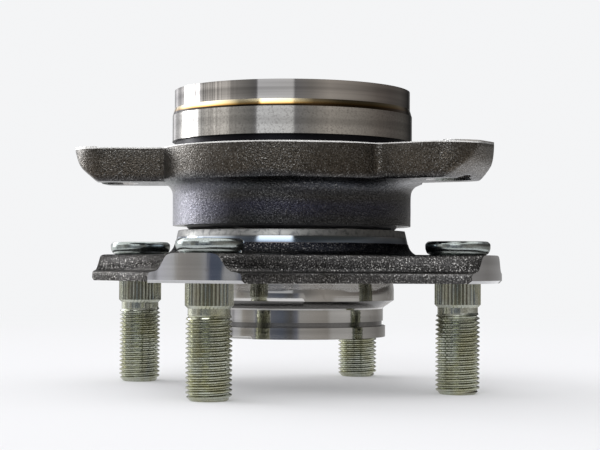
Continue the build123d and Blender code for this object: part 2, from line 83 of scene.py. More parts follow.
class Slot(Enum):
    """Names of material slots, passed along with each new piece."""

    BEARING_RING_STEEL = "bearing_ring_steel"
    HUB_STEEL = "hub_steel"
    GROUND_STEEL = "ground_steel"
    ZINC_STEEL = "zinc_steel"
    SEAL_SHEET = "seal_sheet"
    SEAL_RUBBER = "seal_rubber"
    ENCODER_RUBBER = "encoder_rubber"


class Keep(Enum):
    """What a cutting tool leaves of a blank."""

    OUTSIDE = "DIFFERENCE"
    INSIDE = "INTERSECT"


# ---- shader groups


def rgba(tone: Tone) -> tuple[float, ...]:
    """Returns a tone with its alpha; a single number is a grey."""
    parts = tone if isinstance(tone, tuple) else (tone,) * 3
    return (*parts, 1.0)[:4]


class NodeSheet:
    """A node tree with short calls to add and join nodes."""

    def __init__(self, tree: Group) -> None:
        """Args:
            tree: the tree to draw on.
        """
        self.tree = tree

    def feed(self, node: Node, **inputs: object) -> Node:
        """Fills a node's inputs and returns it.

        Args:
            node: the node.
            **inputs: values, tones or sockets to join; underscores stand for spaces, and a number
                after "in" picks an input by its place.

        Returns:
            The node.
        """
        for key, value in inputs.items():
            socket = node.inputs[int(key[2:])] if key[:2] == "in" else node.inputs[key.replace("_", " ")]
            if isinstance(value, Socket):
                self.tree.links.new(value, socket)
            else:
                socket.default_value = rgba(value) if socket.type == "RGBA" else value
        return node

    def add(self, kind: str, settings: dict | None = None, **inputs: object) -> Node:
        """Adds one node.

        Args:
            kind: the node's type name without its ShaderNode prefix.
            settings: the node's own properties.
            **inputs: as in feed.

        Returns:
            The new node.
        """
        node = self.tree.nodes.new("ShaderNode" + kind)
        for key, value in (settings or {}).items():
            setattr(node, key, value)
        return self.feed(node, **inputs)

    def use(self, group: Group, **inputs: object) -> bpy.types.NodeOutputs:
        """Places a shader group and returns its outputs."""
        return self.add("Group", {"node_tree": group}, **inputs).outputs

    def maths(self, operation: str, *values: object) -> Socket:
        """Returns the result of a Math node on the values."""
        inputs = {f"in{i}": value for i, value in enumerate(values)}
        return self.add("Math", {"operation": operation}, **inputs).outputs[0]

    def times(self, *values: object) -> Socket:
        """Returns the product of two values."""
        return self.maths("MULTIPLY", *values)

    def scaled(self, value: Socket, factor: float, base: object) -> Socket:
        """Returns the base plus the value times the factor."""
        return self.maths("MULTIPLY_ADD", value, factor, base)

    def axes(self, place: Socket) -> bpy.types.NodeOutputs:
        """Returns the X, Y and Z of a place."""
        return self.add("SeparateXYZ", Vector=place).outputs

    def radius(self, x: Socket, y: Socket) -> Socket:
        """Returns the distance from the bearing axis."""
        return self.maths("SQRT", self.maths("ADD", self.times(x, x), self.times(y, y)))

    def ranged(
        self, value: Socket, low: object, high: object, start: float = 0.0, end: float = 1.0
    ) -> Socket:
        """Returns the value moved from low and high to start and end, and held between them."""
        inputs = {"From_Min": low, "From_Max": high, "To_Min": start, "To_Max": end}
        return self.add("MapRange", Value=value, **inputs).outputs[0]

    def noise(self, place: Socket, scale: object, detail: float, **inputs: object) -> Socket:
        """Returns a noise value between 0 and 1."""
        return self.add("TexNoise", Vector=place, Scale=scale, Detail=detail, **inputs).outputs["Fac"]

    def ramp(self, factor: Socket, stops: Stops) -> Socket:
        """Returns the colour that the stops give for the factor."""
        node = self.add("ValToRGB", Fac=factor)
        elements = node.color_ramp.elements
        while len(elements) < len(stops):
            elements.new(0.5)
        for element, (place, tone) in zip(elements, stops):
            element.position = place
            element.color = rgba(tone)
        return node.outputs["Color"]

    def blend(self, factor: object, low: object, high: object) -> Socket:
        """Returns a colour between low and high."""
        return self.add("Mix", {"data_type": "RGBA"}, in0=factor, in6=low, in7=high).outputs[2]

    def tint(self, colour: Socket, by: Socket) -> Socket:
        """Returns one colour multiplied by another."""
        mixed = {"data_type": "RGBA", "blend_type": "MULTIPLY"}
        return self.add("Mix", mixed, in0=1.0, in6=colour, in7=by).outputs[2]


def shader_group(name: str, **inputs: float | None) -> Callable[[Drawing], Callable[[], Group]]:
    """Turns a function that draws nodes into one that gives their shader group, made once.

    Args:
        name: the group's name.
        **inputs: input names and their defaults; None makes a vector socket.

    Returns:
        The decorator. The function that it takes returns a value socket for each output.
    """

    def wrap(draw: Drawing) -> Callable[[], Group]:
        @wraps(draw)
        def get() -> Group:
            found = bpy.data.node_groups.get(name)
            if found:
                return found
            tree = bpy.data.node_groups.new(name, "ShaderNodeTree")
            for key, value in inputs.items():
                kind = "NodeSocketVector" if value is None else "NodeSocketFloat"
                socket = tree.interface.new_socket(key, in_out="INPUT", socket_type=kind)
                if value is not None:
                    socket.default_value = value
            drawn = draw(NodeSheet(tree), tree.nodes.new("NodeGroupInput").outputs)
            for key in drawn:
                tree.interface.new_socket(key, in_out="OUTPUT", socket_type="NodeSocketFloat")
            sink = tree.nodes.new("NodeGroupOutput")
            for key, socket in drawn.items():
                tree.links.new(socket, sink.inputs[key])
            return tree

        return get

    return wrap


@shader_group("blast_grain", Place=None, Pits=1700.0, Patches=60.0)
def blast_grain(sheet: NodeSheet, given: bpy.types.NodeOutputs) -> dict[str, Socket]:
    """Shot-blasted forge skin: small pits with bright facets, and slow patches."""
    place, scale = given["Place"], given["Pits"]
    pits = sheet.add("TexVoronoi", {"feature": "SMOOTH_F1"}, Vector=place, Scale=scale, Smoothness=0.6)
    fine = sheet.noise(place, scale, 1.5)
    apart = sheet.add("VectorMath", {"operation": "ADD"}, in0=place, in1=(0.31, 0.17, 0.23)).outputs[0]
    other = sheet.noise(apart, sheet.times(scale, 0.8), 1.5)
    coarse = sheet.noise(place, sheet.times(scale, 0.4), 1.0)
    return {
        "Height": sheet.scaled(pits.outputs["Distance"], 0.5, sheet.scaled(coarse, 0.6, fine)),
        "Glint": sheet.ranged(fine, 0.56, 0.76),
        "Pit": sheet.ranged(other, 0.36, 0.56),
        "Patch": sheet.ranged(sheet.noise(place, given["Patches"], 2.0), 0.36, 0.66),
    }


@shader_group("lathe_lines", Place=None, Lines=6000.0, Runs=60.0)
def lathe_lines(sheet: NodeSheet, given: bpy.types.NodeOutputs) -> dict[str, Socket]:
    """Fine rings that a lathe or grinder leaves, on walls as well as on flat faces."""
    x, y, z = sheet.axes(given["Place"])
    along = sheet.maths("ADD", z, sheet.radius(x, y))
    lines = []
    for share in (1.0, 0.16):
        pitch, runs = (sheet.times(given[key], share) for key in ("Lines", "Runs"))
        place = sheet.add(
            "CombineXYZ", X=sheet.times(x, runs), Y=sheet.times(y, runs), Z=sheet.times(along, pitch)
        )
        lines.append(sheet.noise(place.outputs[0], 1.0, 2.0))
    return {"Height": lines[0], "Shade": sheet.ranged(lines[1], 0.38, 0.64)}


@shader_group("level_bands", Place=None, Low=0.0, High=0.05, Wander=0.002)
def level_bands(sheet: NodeSheet, given: bpy.types.NodeOutputs) -> dict[str, Socket]:
    """How far up a piece a point is, with a wandering edge, for heat tints and for painted highlight and
    shade bands.
    """
    slow = sheet.noise(given["Place"], 38.0, 2.0)
    shift = sheet.times(sheet.maths("SUBTRACT", slow, 0.5), given["Wander"])
    level = sheet.maths("ADD", sheet.axes(given["Place"])["Z"], shift)
    return {"Level": sheet.ranged(level, given["Low"], given["High"])}


@shader_group("handling_smudges", Place=None, Scale=220.0, Start=0.5)
def handling_smudges(sheet: NodeSheet, given: bpy.types.NodeOutputs) -> dict[str, Socket]:
    """Soft irregular marks of oil and handling."""
    marks = sheet.noise(given["Place"], given["Scale"], 5.0, Distortion=0.6)
    return {"Mask": sheet.ranged(marks, given["Start"], 0.78)}


# ---- finishes


@dataclass(frozen=True)
class Finish:
    """A surface finish with its own material.

    Attributes:
        name: the material's name.
        roughness: how blurred its reflections are.
    """

    name: str
    roughness: float

    def material(self) -> bpy.types.Material:
        """Returns the finish's material, made on the first call."""
        found = bpy.data.materials.get(self.name)
        if found:
            return found
        made = bpy.data.materials.new(self.name)
        made.use_nodes = True
        made.node_tree.nodes.clear()
        sheet = NodeSheet(made.node_tree)
        place = sheet.add("TexCoord").outputs["Object"]
        surface = sheet.add("BsdfPrincipled", Roughness=self.roughness)
        self.dress(sheet, place, surface)
        sheet.add("OutputMaterial", Surface=surface.outputs[0])
        return made

    def dress(self, sheet: NodeSheet, place: Socket, surface: Node) -> None:
        """Adds colour, roughness and relief; each finish has its own."""
        raise NotImplementedError

    @staticmethod
    def coat(
        sheet: NodeSheet, surface: Node, colour: Socket, rough: Socket, height: Socket, depth: float,
        strength: float, metallic: float = 1.0,
    ) -> Socket:
        """Feeds the surface its colour, roughness and relief.

        Args:
            sheet: the material's nodes.
            surface: the shader.
            colour: its colour.
            rough: its roughness.
            height: its relief, from 0 to 1.
            depth: depth of the relief in millimetres.
            strength: share of the relief that shows.
            metallic: share of metal.

        Returns:
            The normal with the relief.
        """
        normal = sheet.add("Bump", Strength=strength, Distance=depth * MM, Height=height).outputs[0]
        sheet.feed(surface, Base_Color=colour, Metallic=metallic, Roughness=rough, Normal=normal)
        return normal


@dataclass(frozen=True)
class ForgeSkin(Finish):
    """Forged and shot-blasted steel with colour bands along its height: heat tints on the ring, painted
    highlight and shade bands on the hub.

    Attributes:
        tints: colour stops from the lowest to the highest level.
        levels: the two levels, in millimetres.
        pits: grain per metre.
        depth: depth of the grain in millimetres.
        edge: level of a worn bright edge, in millimetres.
        sparkle: reflectance of the grain's bright facets.
        oxide: weight of the clear oxide skin over the grain.
        rim_light: reflectance at grazing angles, from 0 to 1.
        left_sheen: painted sheen: how far the lower levels are lightened towards -X, the side the light
            falls on, from 0 to 1; it also dims their facets.
        shaded_above: share of the levels above which the facets are dimmed, painted shade over the top
            levels.
    """

    tints: Stops
    levels: tuple[float, float]
    pits: float = 2550.0
    depth: float = 0.11
    edge: float = 90.0
    sparkle: float = 0.5
    oxide: float = 1.0
    rim_light: float = 1.0
    left_sheen: float = 0.0
    shaded_above: float = 2.0

    def dress(self, sheet: NodeSheet, place: Socket, surface: Node) -> None:
        """Tinted metal whose grain breaks its reflections up."""
        grain = sheet.use(blast_grain(), Place=place, Pits=self.pits, Patches=75.0)
        low, high = (level * MM for level in self.levels)
        level = sheet.use(level_bands(), Place=place, Low=low, High=high, Wander=0.0035)["Level"]
        patches = sheet.blend(grain["Patch"], (0.7, 0.69, 0.67), (1.1, 1.1, 1.12))
        toned = sheet.tint(sheet.ramp(level, self.tints), patches)
        # Painted sheen: the lower levels are lightened towards -X, where the light falls, and their
        # facets are dimmed.
        side = sheet.ranged(sheet.axes(place)["X"], -0.016, -0.036)
        foot = sheet.ranged(level, 0.56, 0.4)
        left_sheen = sheet.blend(sheet.times(side, sheet.times(foot, self.left_sheen)), toned, (0.24, 0.24, 0.3))
        deep = sheet.tint(left_sheen, sheet.blend(grain["Pit"], 0.6, 1.12))
        dim = sheet.scaled(foot, -0.5 * self.left_sheen, 0.8)
        # Painted shade: facets are dimmed above the shaded level.
        fade = sheet.ranged(level, self.shaded_above, self.shaded_above + 0.1, 1.0, 0.3)
        lit = sheet.times(grain["Glint"], sheet.times(dim, fade))
        bright = sheet.blend(lit, deep, (self.sparkle, self.sparkle * 0.98, self.sparkle * 0.94))
        rim_low, rim = (self.edge - 0.34) * MM, self.edge * MM
        worn = sheet.use(level_bands(), Place=place, Low=rim_low, High=rim, Wander=0.0006)["Level"]
        colour = sheet.blend(sheet.maths("GREATER_THAN", worn, 0.02), bright, (0.85, 0.84, 0.82))
        rough = sheet.ranged(grain["Glint"], 0.0, 1.0, self.roughness, self.roughness * 0.6)
        height = sheet.scaled(worn, -0.35 / self.depth, grain["Height"])
        normal = self.coat(sheet, surface, colour, rough, height, self.depth, 1.0)
        skin = sheet.ranged(grain["Pit"], 0.0, 1.0, self.oxide * 0.5, self.oxide)
        sheet.feed(surface, Coat_Weight=skin, Coat_Roughness=0.28, Coat_Normal=normal)
        sheet.feed(surface, Specular_Tint=self.rim_light)


@dataclass(frozen=True)
class MachinedSteel(Finish):
    """Turned or ground steel.

    Attributes:
        colour: the clean metal.
        lines: tool lines per metre.
        line_depth: their depth in millimetres.
        stain: the colour of its smudges.
        smudge_start: where smudges begin; a higher number leaves fewer.
        smudge_scale: smudges per metre.
        wear: brightness of the darker tool lines, as a share.
    """

    colour: Tone
    lines: float
    line_depth: float
    stain: Tone = (0.4, 0.37, 0.34)
    smudge_start: float = 0.5
    smudge_scale: float = 160.0
    wear: float = 0.8

    def dress(self, sheet: NodeSheet, place: Socket, surface: Node) -> None:
        """Bright metal with fine rings and a few smudges."""
        rings = sheet.use(lathe_lines(), Place=place, Lines=self.lines, Runs=70.0)
        smudge = sheet.use(
            handling_smudges(), Place=place, Scale=self.smudge_scale, Start=self.smudge_start
        )["Mask"]
        worn = tuple(part * self.wear for part in rgba(self.colour)[:3])
        colour = sheet.blend(smudge, sheet.blend(rings["Shade"], worn, self.colour), self.stain)
        fine = sheet.scaled(rings["Shade"], self.roughness * 0.5, self.roughness * 0.7)
        rough = sheet.scaled(smudge, 0.16, fine)
        self.coat(sheet, surface, colour, rough, rings["Height"], self.line_depth, 0.6)


@dataclass(frozen=True)
class TemperedSteel(Finish):
    """Turned steel with oxide colours in bands along the axis.

    Attributes:
        tints: colour stops from the lowest to the highest level.
        levels: the two levels, in millimetres.
        wander: how far the bands wander, in millimetres.
        smear: how much of the surface dark smears cover, from 0 to 1.
        far_side_shade: painted shade: how far the colours darken towards +X, the side away from the
            light, from 0 to 1.
    """

    tints: Stops
    levels: tuple[float, float]
    wander: float = 0.4
    smear: float = 0.0
    far_side_shade: float = 0.0

    def dress(self, sheet: NodeSheet, place: Socket, surface: Node) -> None:
        """Oxide bands over fine rings."""
        low, high, wander = (size * MM for size in (*self.levels, self.wander))
        level = sheet.use(level_bands(), Place=place, Low=low, High=high, Wander=wander)["Level"]
        rings = sheet.use(lathe_lines(), Place=place, Lines=4200.0, Runs=110.0)
        smudge = sheet.use(handling_smudges(), Place=place, Scale=760.0, Start=0.47)["Mask"]
        # Painted shade: the colours darken towards +X, the side away from the light.
        shade_share = sheet.ranged(sheet.axes(place)["X"], 0.001, 0.006, 0.0, self.far_side_shade)
        shaded_tint = sheet.blend(shade_share, sheet.ramp(level, self.tints), (0.08, 0.045, 0.02))
        colour = sheet.blend(sheet.times(smudge, self.smear), shaded_tint, (0.07, 0.07, 0.08))
        rough = sheet.scaled(rings["Shade"], 0.1, self.roughness)
        self.coat(sheet, surface, colour, rough, rings["Height"], 0.003, 0.5)


@dataclass(frozen=True)
class ZincPlate(Finish):
    """Yellow-passivated zinc on the wheel studs.

    Attributes:
        colour: the bare plate.
        passivation: its olive-yellow bloom.
    """

    colour: Tone
    passivation: Tone

    def dress(self, sheet: NodeSheet, place: Socket, surface: Node) -> None:
        """Metal with an uneven bloom and slight pitting."""
        bloom = sheet.use(handling_smudges(), Place=place, Scale=170.0, Start=0.38)["Mask"]
        pits = sheet.noise(place, 2600.0, 2.0)
        plate = sheet.blend(bloom, self.colour, self.passivation)
        colour = sheet.tint(plate, sheet.ranged(pits, 0.3, 0.55, 0.72, 1.0))
        rough = sheet.scaled(bloom, 0.14, self.roughness)
        self.coat(sheet, surface, colour, rough, pits, 0.02, 0.5)


@dataclass(frozen=True)
class Moulded(Finish):
    """Moulded polymer or rubber, and the even metal of balls and pressed sheet.

    Attributes:
        colour: the compound.
        bloom: the colour of its dusty or flow-marked places.
        metallic: share of metal, for bare balls and sheet.
        depth: depth of the grain in millimetres.
    """

    colour: Tone
    bloom: Tone
    metallic: float = 0.0
    depth: float = 0.02

    def dress(self, sheet: NodeSheet, place: Socket, surface: Node) -> None:
        """Even colour with a slight bloom and grain."""
        bloom = sheet.use(handling_smudges(), Place=place, Scale=130.0, Start=0.42)["Mask"]
        grain = sheet.noise(place, 900.0, 3.0)
        colour = sheet.blend(bloom, self.colour, self.bloom)
        rough = sheet.scaled(grain, 0.12, self.roughness - 0.06)
        self.coat(sheet, surface, colour, rough, grain, self.depth, 0.4, self.metallic)


@dataclass(frozen=True)
class StudioPaper(Finish):
    """Pale paper that glows by itself: fully far from the object, as lit paper under other lamps does,
    and by a share of that near it, painted light that lifts the object's shadows.

    Attributes:
        colour: the paper.
        near: radius in metres within which only the lamp lights it.
        far: radius from which it has the room's own brightness.
        glow: share of the room's brightness that it has by itself near the object.
    """

    colour: Tone = (0.62, 0.62, 0.63)
    # near: radius in metres within which the lamp and the painted near glow light it.
    near: float = 0.1
    far: float = 0.6
    # glow: share of the room's brightness that it has by itself near the object; painted light that
    # lifts the shadows there.
    glow: float = 0.25

    def dress(self, sheet: NodeSheet, place: Socket, surface: Node) -> None:
        """Fades from plain paper to an even glow along the radius."""
        x, y, _ = sheet.axes(place)
        smooth = {"interpolation_type": "SMOOTHSTEP"}
        far = sheet.add(
            "MapRange", smooth, Value=sheet.radius(x, y), From_Min=self.near, From_Max=self.far
        ).outputs[0]
        own = tuple(part * self.glow for part in ROOM_SEEN)
        sheet.feed(
            surface, Base_Color=sheet.blend(far, self.colour, 0.0), Emission_Strength=1.0,
            Emission_Color=sheet.blend(far, own, ROOM_SEEN), Specular_IOR_Level=0.0,
        )


# The ring's lower levels carry the painted sheen towards -X.
RING_FORGING = ForgeSkin(
    "ring_forging", 0.33, levels=(15.8, 37.6), edge=37.57, sparkle=0.32, left_sheen=1.0,
    tints=(
        (0.0, 0.004), (0.08, (0.005, 0.005, 0.007)), (0.16, (0.007, 0.007, 0.02)),
        (0.24, (0.012, 0.012, 0.03)), (0.34, (0.022, 0.02, 0.018)), (0.45, (0.018, 0.019, 0.024)),
        (0.54, (0.012, 0.016, 0.026)), (0.66, (0.05, 0.037, 0.022)), (0.85, (0.064, 0.051, 0.034)),
        (1.0, (0.064, 0.056, 0.045)),
    ),
)
# The hub's stops are greys, not heat tints: a painted highlight along the rim's top edge, painted shade
# in the fillet above it, and painted shade over the top levels under the shoulder, where the facets are
# dimmed as well.
HUB_FORGING = ForgeSkin(
    "hub_forging", 0.36, levels=(0.0, 10.6), pits=2500.0, depth=0.14, sparkle=0.8, shaded_above=0.7, oxide=0.0,
    rim_light=0.3,
    tints=(
        (0.0, (0.085, 0.082, 0.08)), (0.2, (0.1, 0.098, 0.096)), (0.27, (0.17, 0.166, 0.162)),
        (0.32, (0.07, 0.069, 0.068)), (0.37, (0.04, 0.039, 0.039)), (0.46, (0.045, 0.044, 0.043)),
        (0.54, (0.075, 0.073, 0.072)), (0.7, (0.085, 0.083, 0.081)), (0.78, (0.02, 0.021, 0.024)),
        (1.0, (0.012, 0.013, 0.018)),
    ),
)
SPIGOT_LEAD = MachinedSteel(
    "spigot_lead_ground", 0.045, (0.68, 0.65, 0.62), 3400.0, 0.014, smudge_start=0.66, wear=0.6
)
SPIGOT_SEAT = MachinedSteel(
    "spigot_seat_ground", 0.06, (0.72, 0.7, 0.66), 3000.0, 0.014, stain=(0.36, 0.34, 0.32),
    smudge_start=0.47, smudge_scale=1900.0, wear=0.72,
)
TURNED_RING = MachinedSteel("ring_turned_face", 0.2, (0.64, 0.63, 0.62), 2600.0, 0.01)
TURNED_HUB = MachinedSteel("hub_turned_face", 0.2, (0.6, 0.59, 0.58), 2400.0, 0.01, smudge_start=0.55)
PILOT_TURNED = MachinedSteel("pilot_turned", 0.07, (0.62, 0.61, 0.59), 3000.0, 0.006, smudge_start=0.6)
# Painted shade: the pilot's turned steel made dark, for the narrow groove and for the cone that mirrors
# the shaded floor under the hub.
PILOT_PAINTED_SHADE = MachinedSteel(
    "pilot_turned_painted_shade", 0.2, (0.24, 0.235, 0.23), 3000.0, 0.006, smudge_start=0.6
)
ARM_TURNED = MachinedSteel(
    "arm_outside_turned", 0.07, (0.62, 0.62, 0.63), 2200.0, 0.006, smudge_start=0.66
)
RACE_GROUND = MachinedSteel("raceway_ground", 0.08, 0.6, 9000.0, 0.002)
BROACHED = MachinedSteel("spline_broached", 0.22, (0.55, 0.54, 0.53), 1200.0, 0.01)
# The straw band carries painted shade towards +X.
SPIGOT_STRAW = TemperedSteel(
    "spigot_step_straw", 0.05, levels=(46.9, 49.1), wander=0.9, far_side_shade=0.8,
    tints=(
        (0.0, (0.01, 0.009, 0.008)), (0.32, (0.03, 0.02, 0.012)), (0.42, (0.62, 0.34, 0.09)),
        (0.66, (0.95, 0.76, 0.4)), (1.0, (0.85, 0.76, 0.56)),
    ),
)
# Near black in the undercut below the spigot seat.
DARK_RECESS = TemperedSteel(
    "undercut_dark", 0.3, ((0.0, (0.02, 0.02, 0.025)), (1.0, (0.012, 0.012, 0.014))), (37.0, 40.0)
)
SHOULDER_SMEARED = TemperedSteel(
    "shoulder_smeared", 0.36, ((0.0, 0.12), (0.25, (0.27, 0.27, 0.26)), (1.0, (0.32, 0.32, 0.31))),
    (12.4, 14.6), wander=0.5, smear=0.95,
)
SHOULDER_BLUED = TemperedSteel(
    "shoulder_blued", 0.07, levels=(10.4, 12.7), wander=0.35,
    tints=(
        (0.0, (0.55, 0.36, 0.18)), (0.1, (0.16, 0.12, 0.1)), (0.25, (0.2, 0.25, 0.32)),
        (0.75, (0.32, 0.37, 0.42)), (1.0, 0.36),
    ),
)
STUD_ZINC = ZincPlate("stud_zinc", 0.13, (0.54, 0.56, 0.49), (0.43, 0.42, 0.26))
STUD_HEAD_ZINC = ZincPlate("stud_head_zinc", 0.12, (0.42, 0.46, 0.45), (0.34, 0.37, 0.34))
# Painted shade: darker zinc for the roots between the serrations, where shade falls.
STUD_ROOT_SHADE = ZincPlate("stud_groove_zinc", 0.36, (0.17, 0.16, 0.125), (0.12, 0.105, 0.06))
BALL_POLISHED = Moulded("ball_polished", 0.1, (0.72, 0.72, 0.73), (0.66, 0.66, 0.67), 1.0, 0.0005)
CAGE_NATURAL = Moulded("cage_natural", 0.42, (0.62, 0.56, 0.4), (0.7, 0.65, 0.5), depth=0.01)
SEAL_PRESSED = Moulded("seal_pressed_sheet", 0.28, 0.5, 0.42, 1.0, 0.004)
SEAL_NITRILE = Moulded("seal_nitrile", 0.5, (0.018, 0.018, 0.02), 0.035)
ENCODER_FILLED = Moulded("encoder_filled_rubber", 0.46, (0.05, 0.042, 0.04), (0.07, 0.06, 0.055))
FLOOR_PALE = StudioPaper("studio_pale", 0.7)


# ---- meshes


@dataclass(frozen=True)
class Corner:
    """A corner of a turned outline, and the wall that runs from it to the next corner.

    Attributes:
        r: radius in millimetres.
        z: height in millimetres.
        finish: the finish of the wall that starts here.
        rounding: radius that breaks the corner, or 0 for a sharp one.
    """

    r: float
    z: float
    finish: Finish
    rounding: float = 0.0


def profile(*items: Finish | Corner | Sequence[float]) -> list[Corner]:
    """Lists the corners of an outline.

    Args:
        *items: points of radius, height and, where it has one, rounding. A finish among them
            holds for the points after it, and corners go in as they are.

    Returns:
        The corners in order.
    """
    corners, finish = [], None
    for item in items:
        if isinstance(item, Finish):
            finish = item
        else:
            whole = isinstance(item, Corner)
            corners.append(item if whole else Corner(item[0], item[1], finish, *item[2:]))
    return corners


def set_sharp(bm: Mesh, angle: float = SHARP_ANGLE) -> None:
    """Shades faces smooth and keeps edges sharp where the walls turn by more than the angle."""
    for face in bm.faces:
        face.smooth = True
    for edge in bm.edges:
        edge.smooth = len(edge.link_faces) == 2 and edge.calc_face_angle(0.0) < angle


def as_object(name: str, bm: Mesh, finishes: Sequence[Finish]) -> Thing:
    """Turns a bmesh into an object.

    Args:
        name: the object's name.
        bm: the mesh; it is freed.
        finishes: one finish per material index.

    Returns:
        The object, linked to the scene.
    """
    mesh = bpy.data.meshes.new(name)
    bm.to_mesh(mesh)
    bm.free()
    made = bpy.data.objects.new(name, mesh)
    bpy.context.scene.collection.objects.link(made)
    for finish in finishes:
        mesh.materials.append(finish.material())
    return made


def baked(source: Thing, name: str) -> Thing:
    """Applies an object's modifiers and gives back a new object; the source is removed."""
    graph = bpy.context.evaluated_depsgraph_get()
    mesh = bpy.data.meshes.new_from_object(source.evaluated_get(graph), depsgraph=graph)
    made = bpy.data.objects.new(name, mesh)
    mesh.name = name
    bpy.data.objects.remove(source)
    bpy.context.scene.collection.objects.link(made)
    return made


def spun(points: Sequence[Sequence[float]], steps: int, closed: bool = False, rise: float = 0.0) -> Mesh:
    """Spins a line of points once about the bearing axis.

    Args:
        points: radius and height of each, in millimetres.
        steps: facets round the axis.
        closed: whether the last point is joined to the first.
        rise: how far each facet climbs, in millimetres.

    Returns:
        The mesh, with its seam merged.
    """
    bm = bmesh.new()
    verts = [bm.verts.new((r * MM, 0, z * MM)) for r, z in points]
    ends = verts + verts[:1] if closed else verts
    edges = [bm.edges.new(pair) for pair in zip(ends, ends[1:])]
    bmesh.ops.spin(
        bm, geom=verts + edges, cent=(0, 0, 0), axis=(0, 0, 1), dvec=(0, 0, rise * MM), angle=FULL_TURN,
        steps=steps, use_merge=not rise, use_duplicate=False,
    )
    bmesh.ops.remove_doubles(bm, verts=bm.verts, dist=WELD)
    return bm


def turned_mesh(outline: Sequence[Corner], finishes: Sequence[Finish], steps: int) -> Mesh:
    """Turns a solid about the bearing axis.

    Args:
        outline: corners in order; one that starts and ends on the axis isn't closed by a wall.
        finishes: the material slots that the corners' finishes stand in.
        steps: facets round the axis.

    Returns:
        A closed mesh with its walls' materials set.
    """
    on_axis = outline[0].r == 0 and outline[-1].r == 0
    bm = spun([(corner.r, corner.z) for corner in outline], steps, closed=not on_axis)
    bmesh.ops.recalc_face_normals(bm, faces=bm.faces)
    for corner in outline:
        if corner.rounding > 0:
            ring = [
                edge for edge in bm.edges
                if all(
                    abs(v.co.z - corner.z * MM) < WELD and abs(v.co.xy.length - corner.r * MM) < WELD
                    for v in edge.verts
                )
            ]
            bmesh.ops.bevel(
                bm, geom=ring, offset=corner.rounding * MM, segments=3, profile=0.5, affect="EDGES",
                material=-1,
            )
    runs = list(zip(outline, [*outline[1:], outline[0]]))
    if on_axis:
        runs.pop()
    spread = 1 / math.cos(math.pi / steps)
    for face in bm.faces:
        centre = face.calc_center_median()
        point = Vector((centre.xy.length * spread / MM, centre.z / MM))
        face.material_index = finishes.index(nearest_wall(point, runs).finish)
    set_sharp(bm, TURNED_SHARP_ANGLE)
    return bm


def nearest_wall(point: Vector, runs: Sequence[tuple[Corner, Corner]]) -> Corner:
    """Returns the corner whose wall is closest to a point of the half plane."""

    def gap(run: tuple[Corner, Corner]) -> float:
        start, end = (Vector((corner.r, corner.z)) for corner in run)
        way = end - start
        share = max(0.0, min(1.0, (point - start).dot(way) / max(way.length_squared, 1e-12)))
        return (point - start - way * share).length

    return min(runs, key=gap)[0]


def turned(name: str, outline: Sequence[Corner], steps: int = 240) -> Thing:
    """Returns a turned piece as an object."""
    finishes = list(dict.fromkeys(corner.finish for corner in outline))
    return as_object(name, turned_mesh(outline, finishes, steps), finishes)


def polar(radius: float, angle: float) -> Vector:
    """A point of the plan in metres, from millimetres and degrees."""
    turn = math.radians(angle)
    return Vector((radius * math.cos(turn), radius * math.sin(turn), 0.0)) * MM


def lifted(bm: Mesh, faces: Sequence[bmesh.types.BMFace], rise: float) -> list[bmesh.types.BMFace]:
    """Extrudes faces up the axis by a number of millimetres and returns the new ones on top."""
    made = bmesh.ops.extrude_face_region(bm, geom=faces)["geom"]
    tops = [item for item in made if isinstance(item, bmesh.types.BMVert)]
    bmesh.ops.translate(bm, verts=tops, vec=(0, 0, rise * MM))
    return [item for item in made if isinstance(item, bmesh.types.BMFace)]


def rim_disc(corners: int, radius: float, level: float) -> tuple[Mesh, list[bmesh.types.BMVert]]:
    """Returns a flat disc at a level in millimetres, and its corners in order round the axis."""
    bm = bmesh.new()
    bmesh.ops.create_circle(bm, cap_ends=True, segments=corners, radius=radius * MM)
    rim = sorted(bm.verts, key=lambda v: math.atan2(v.co.y, v.co.x) % FULL_TURN)
    bmesh.ops.translate(bm, verts=bm.verts, vec=(0, 0, level * MM))
    return bm, rim


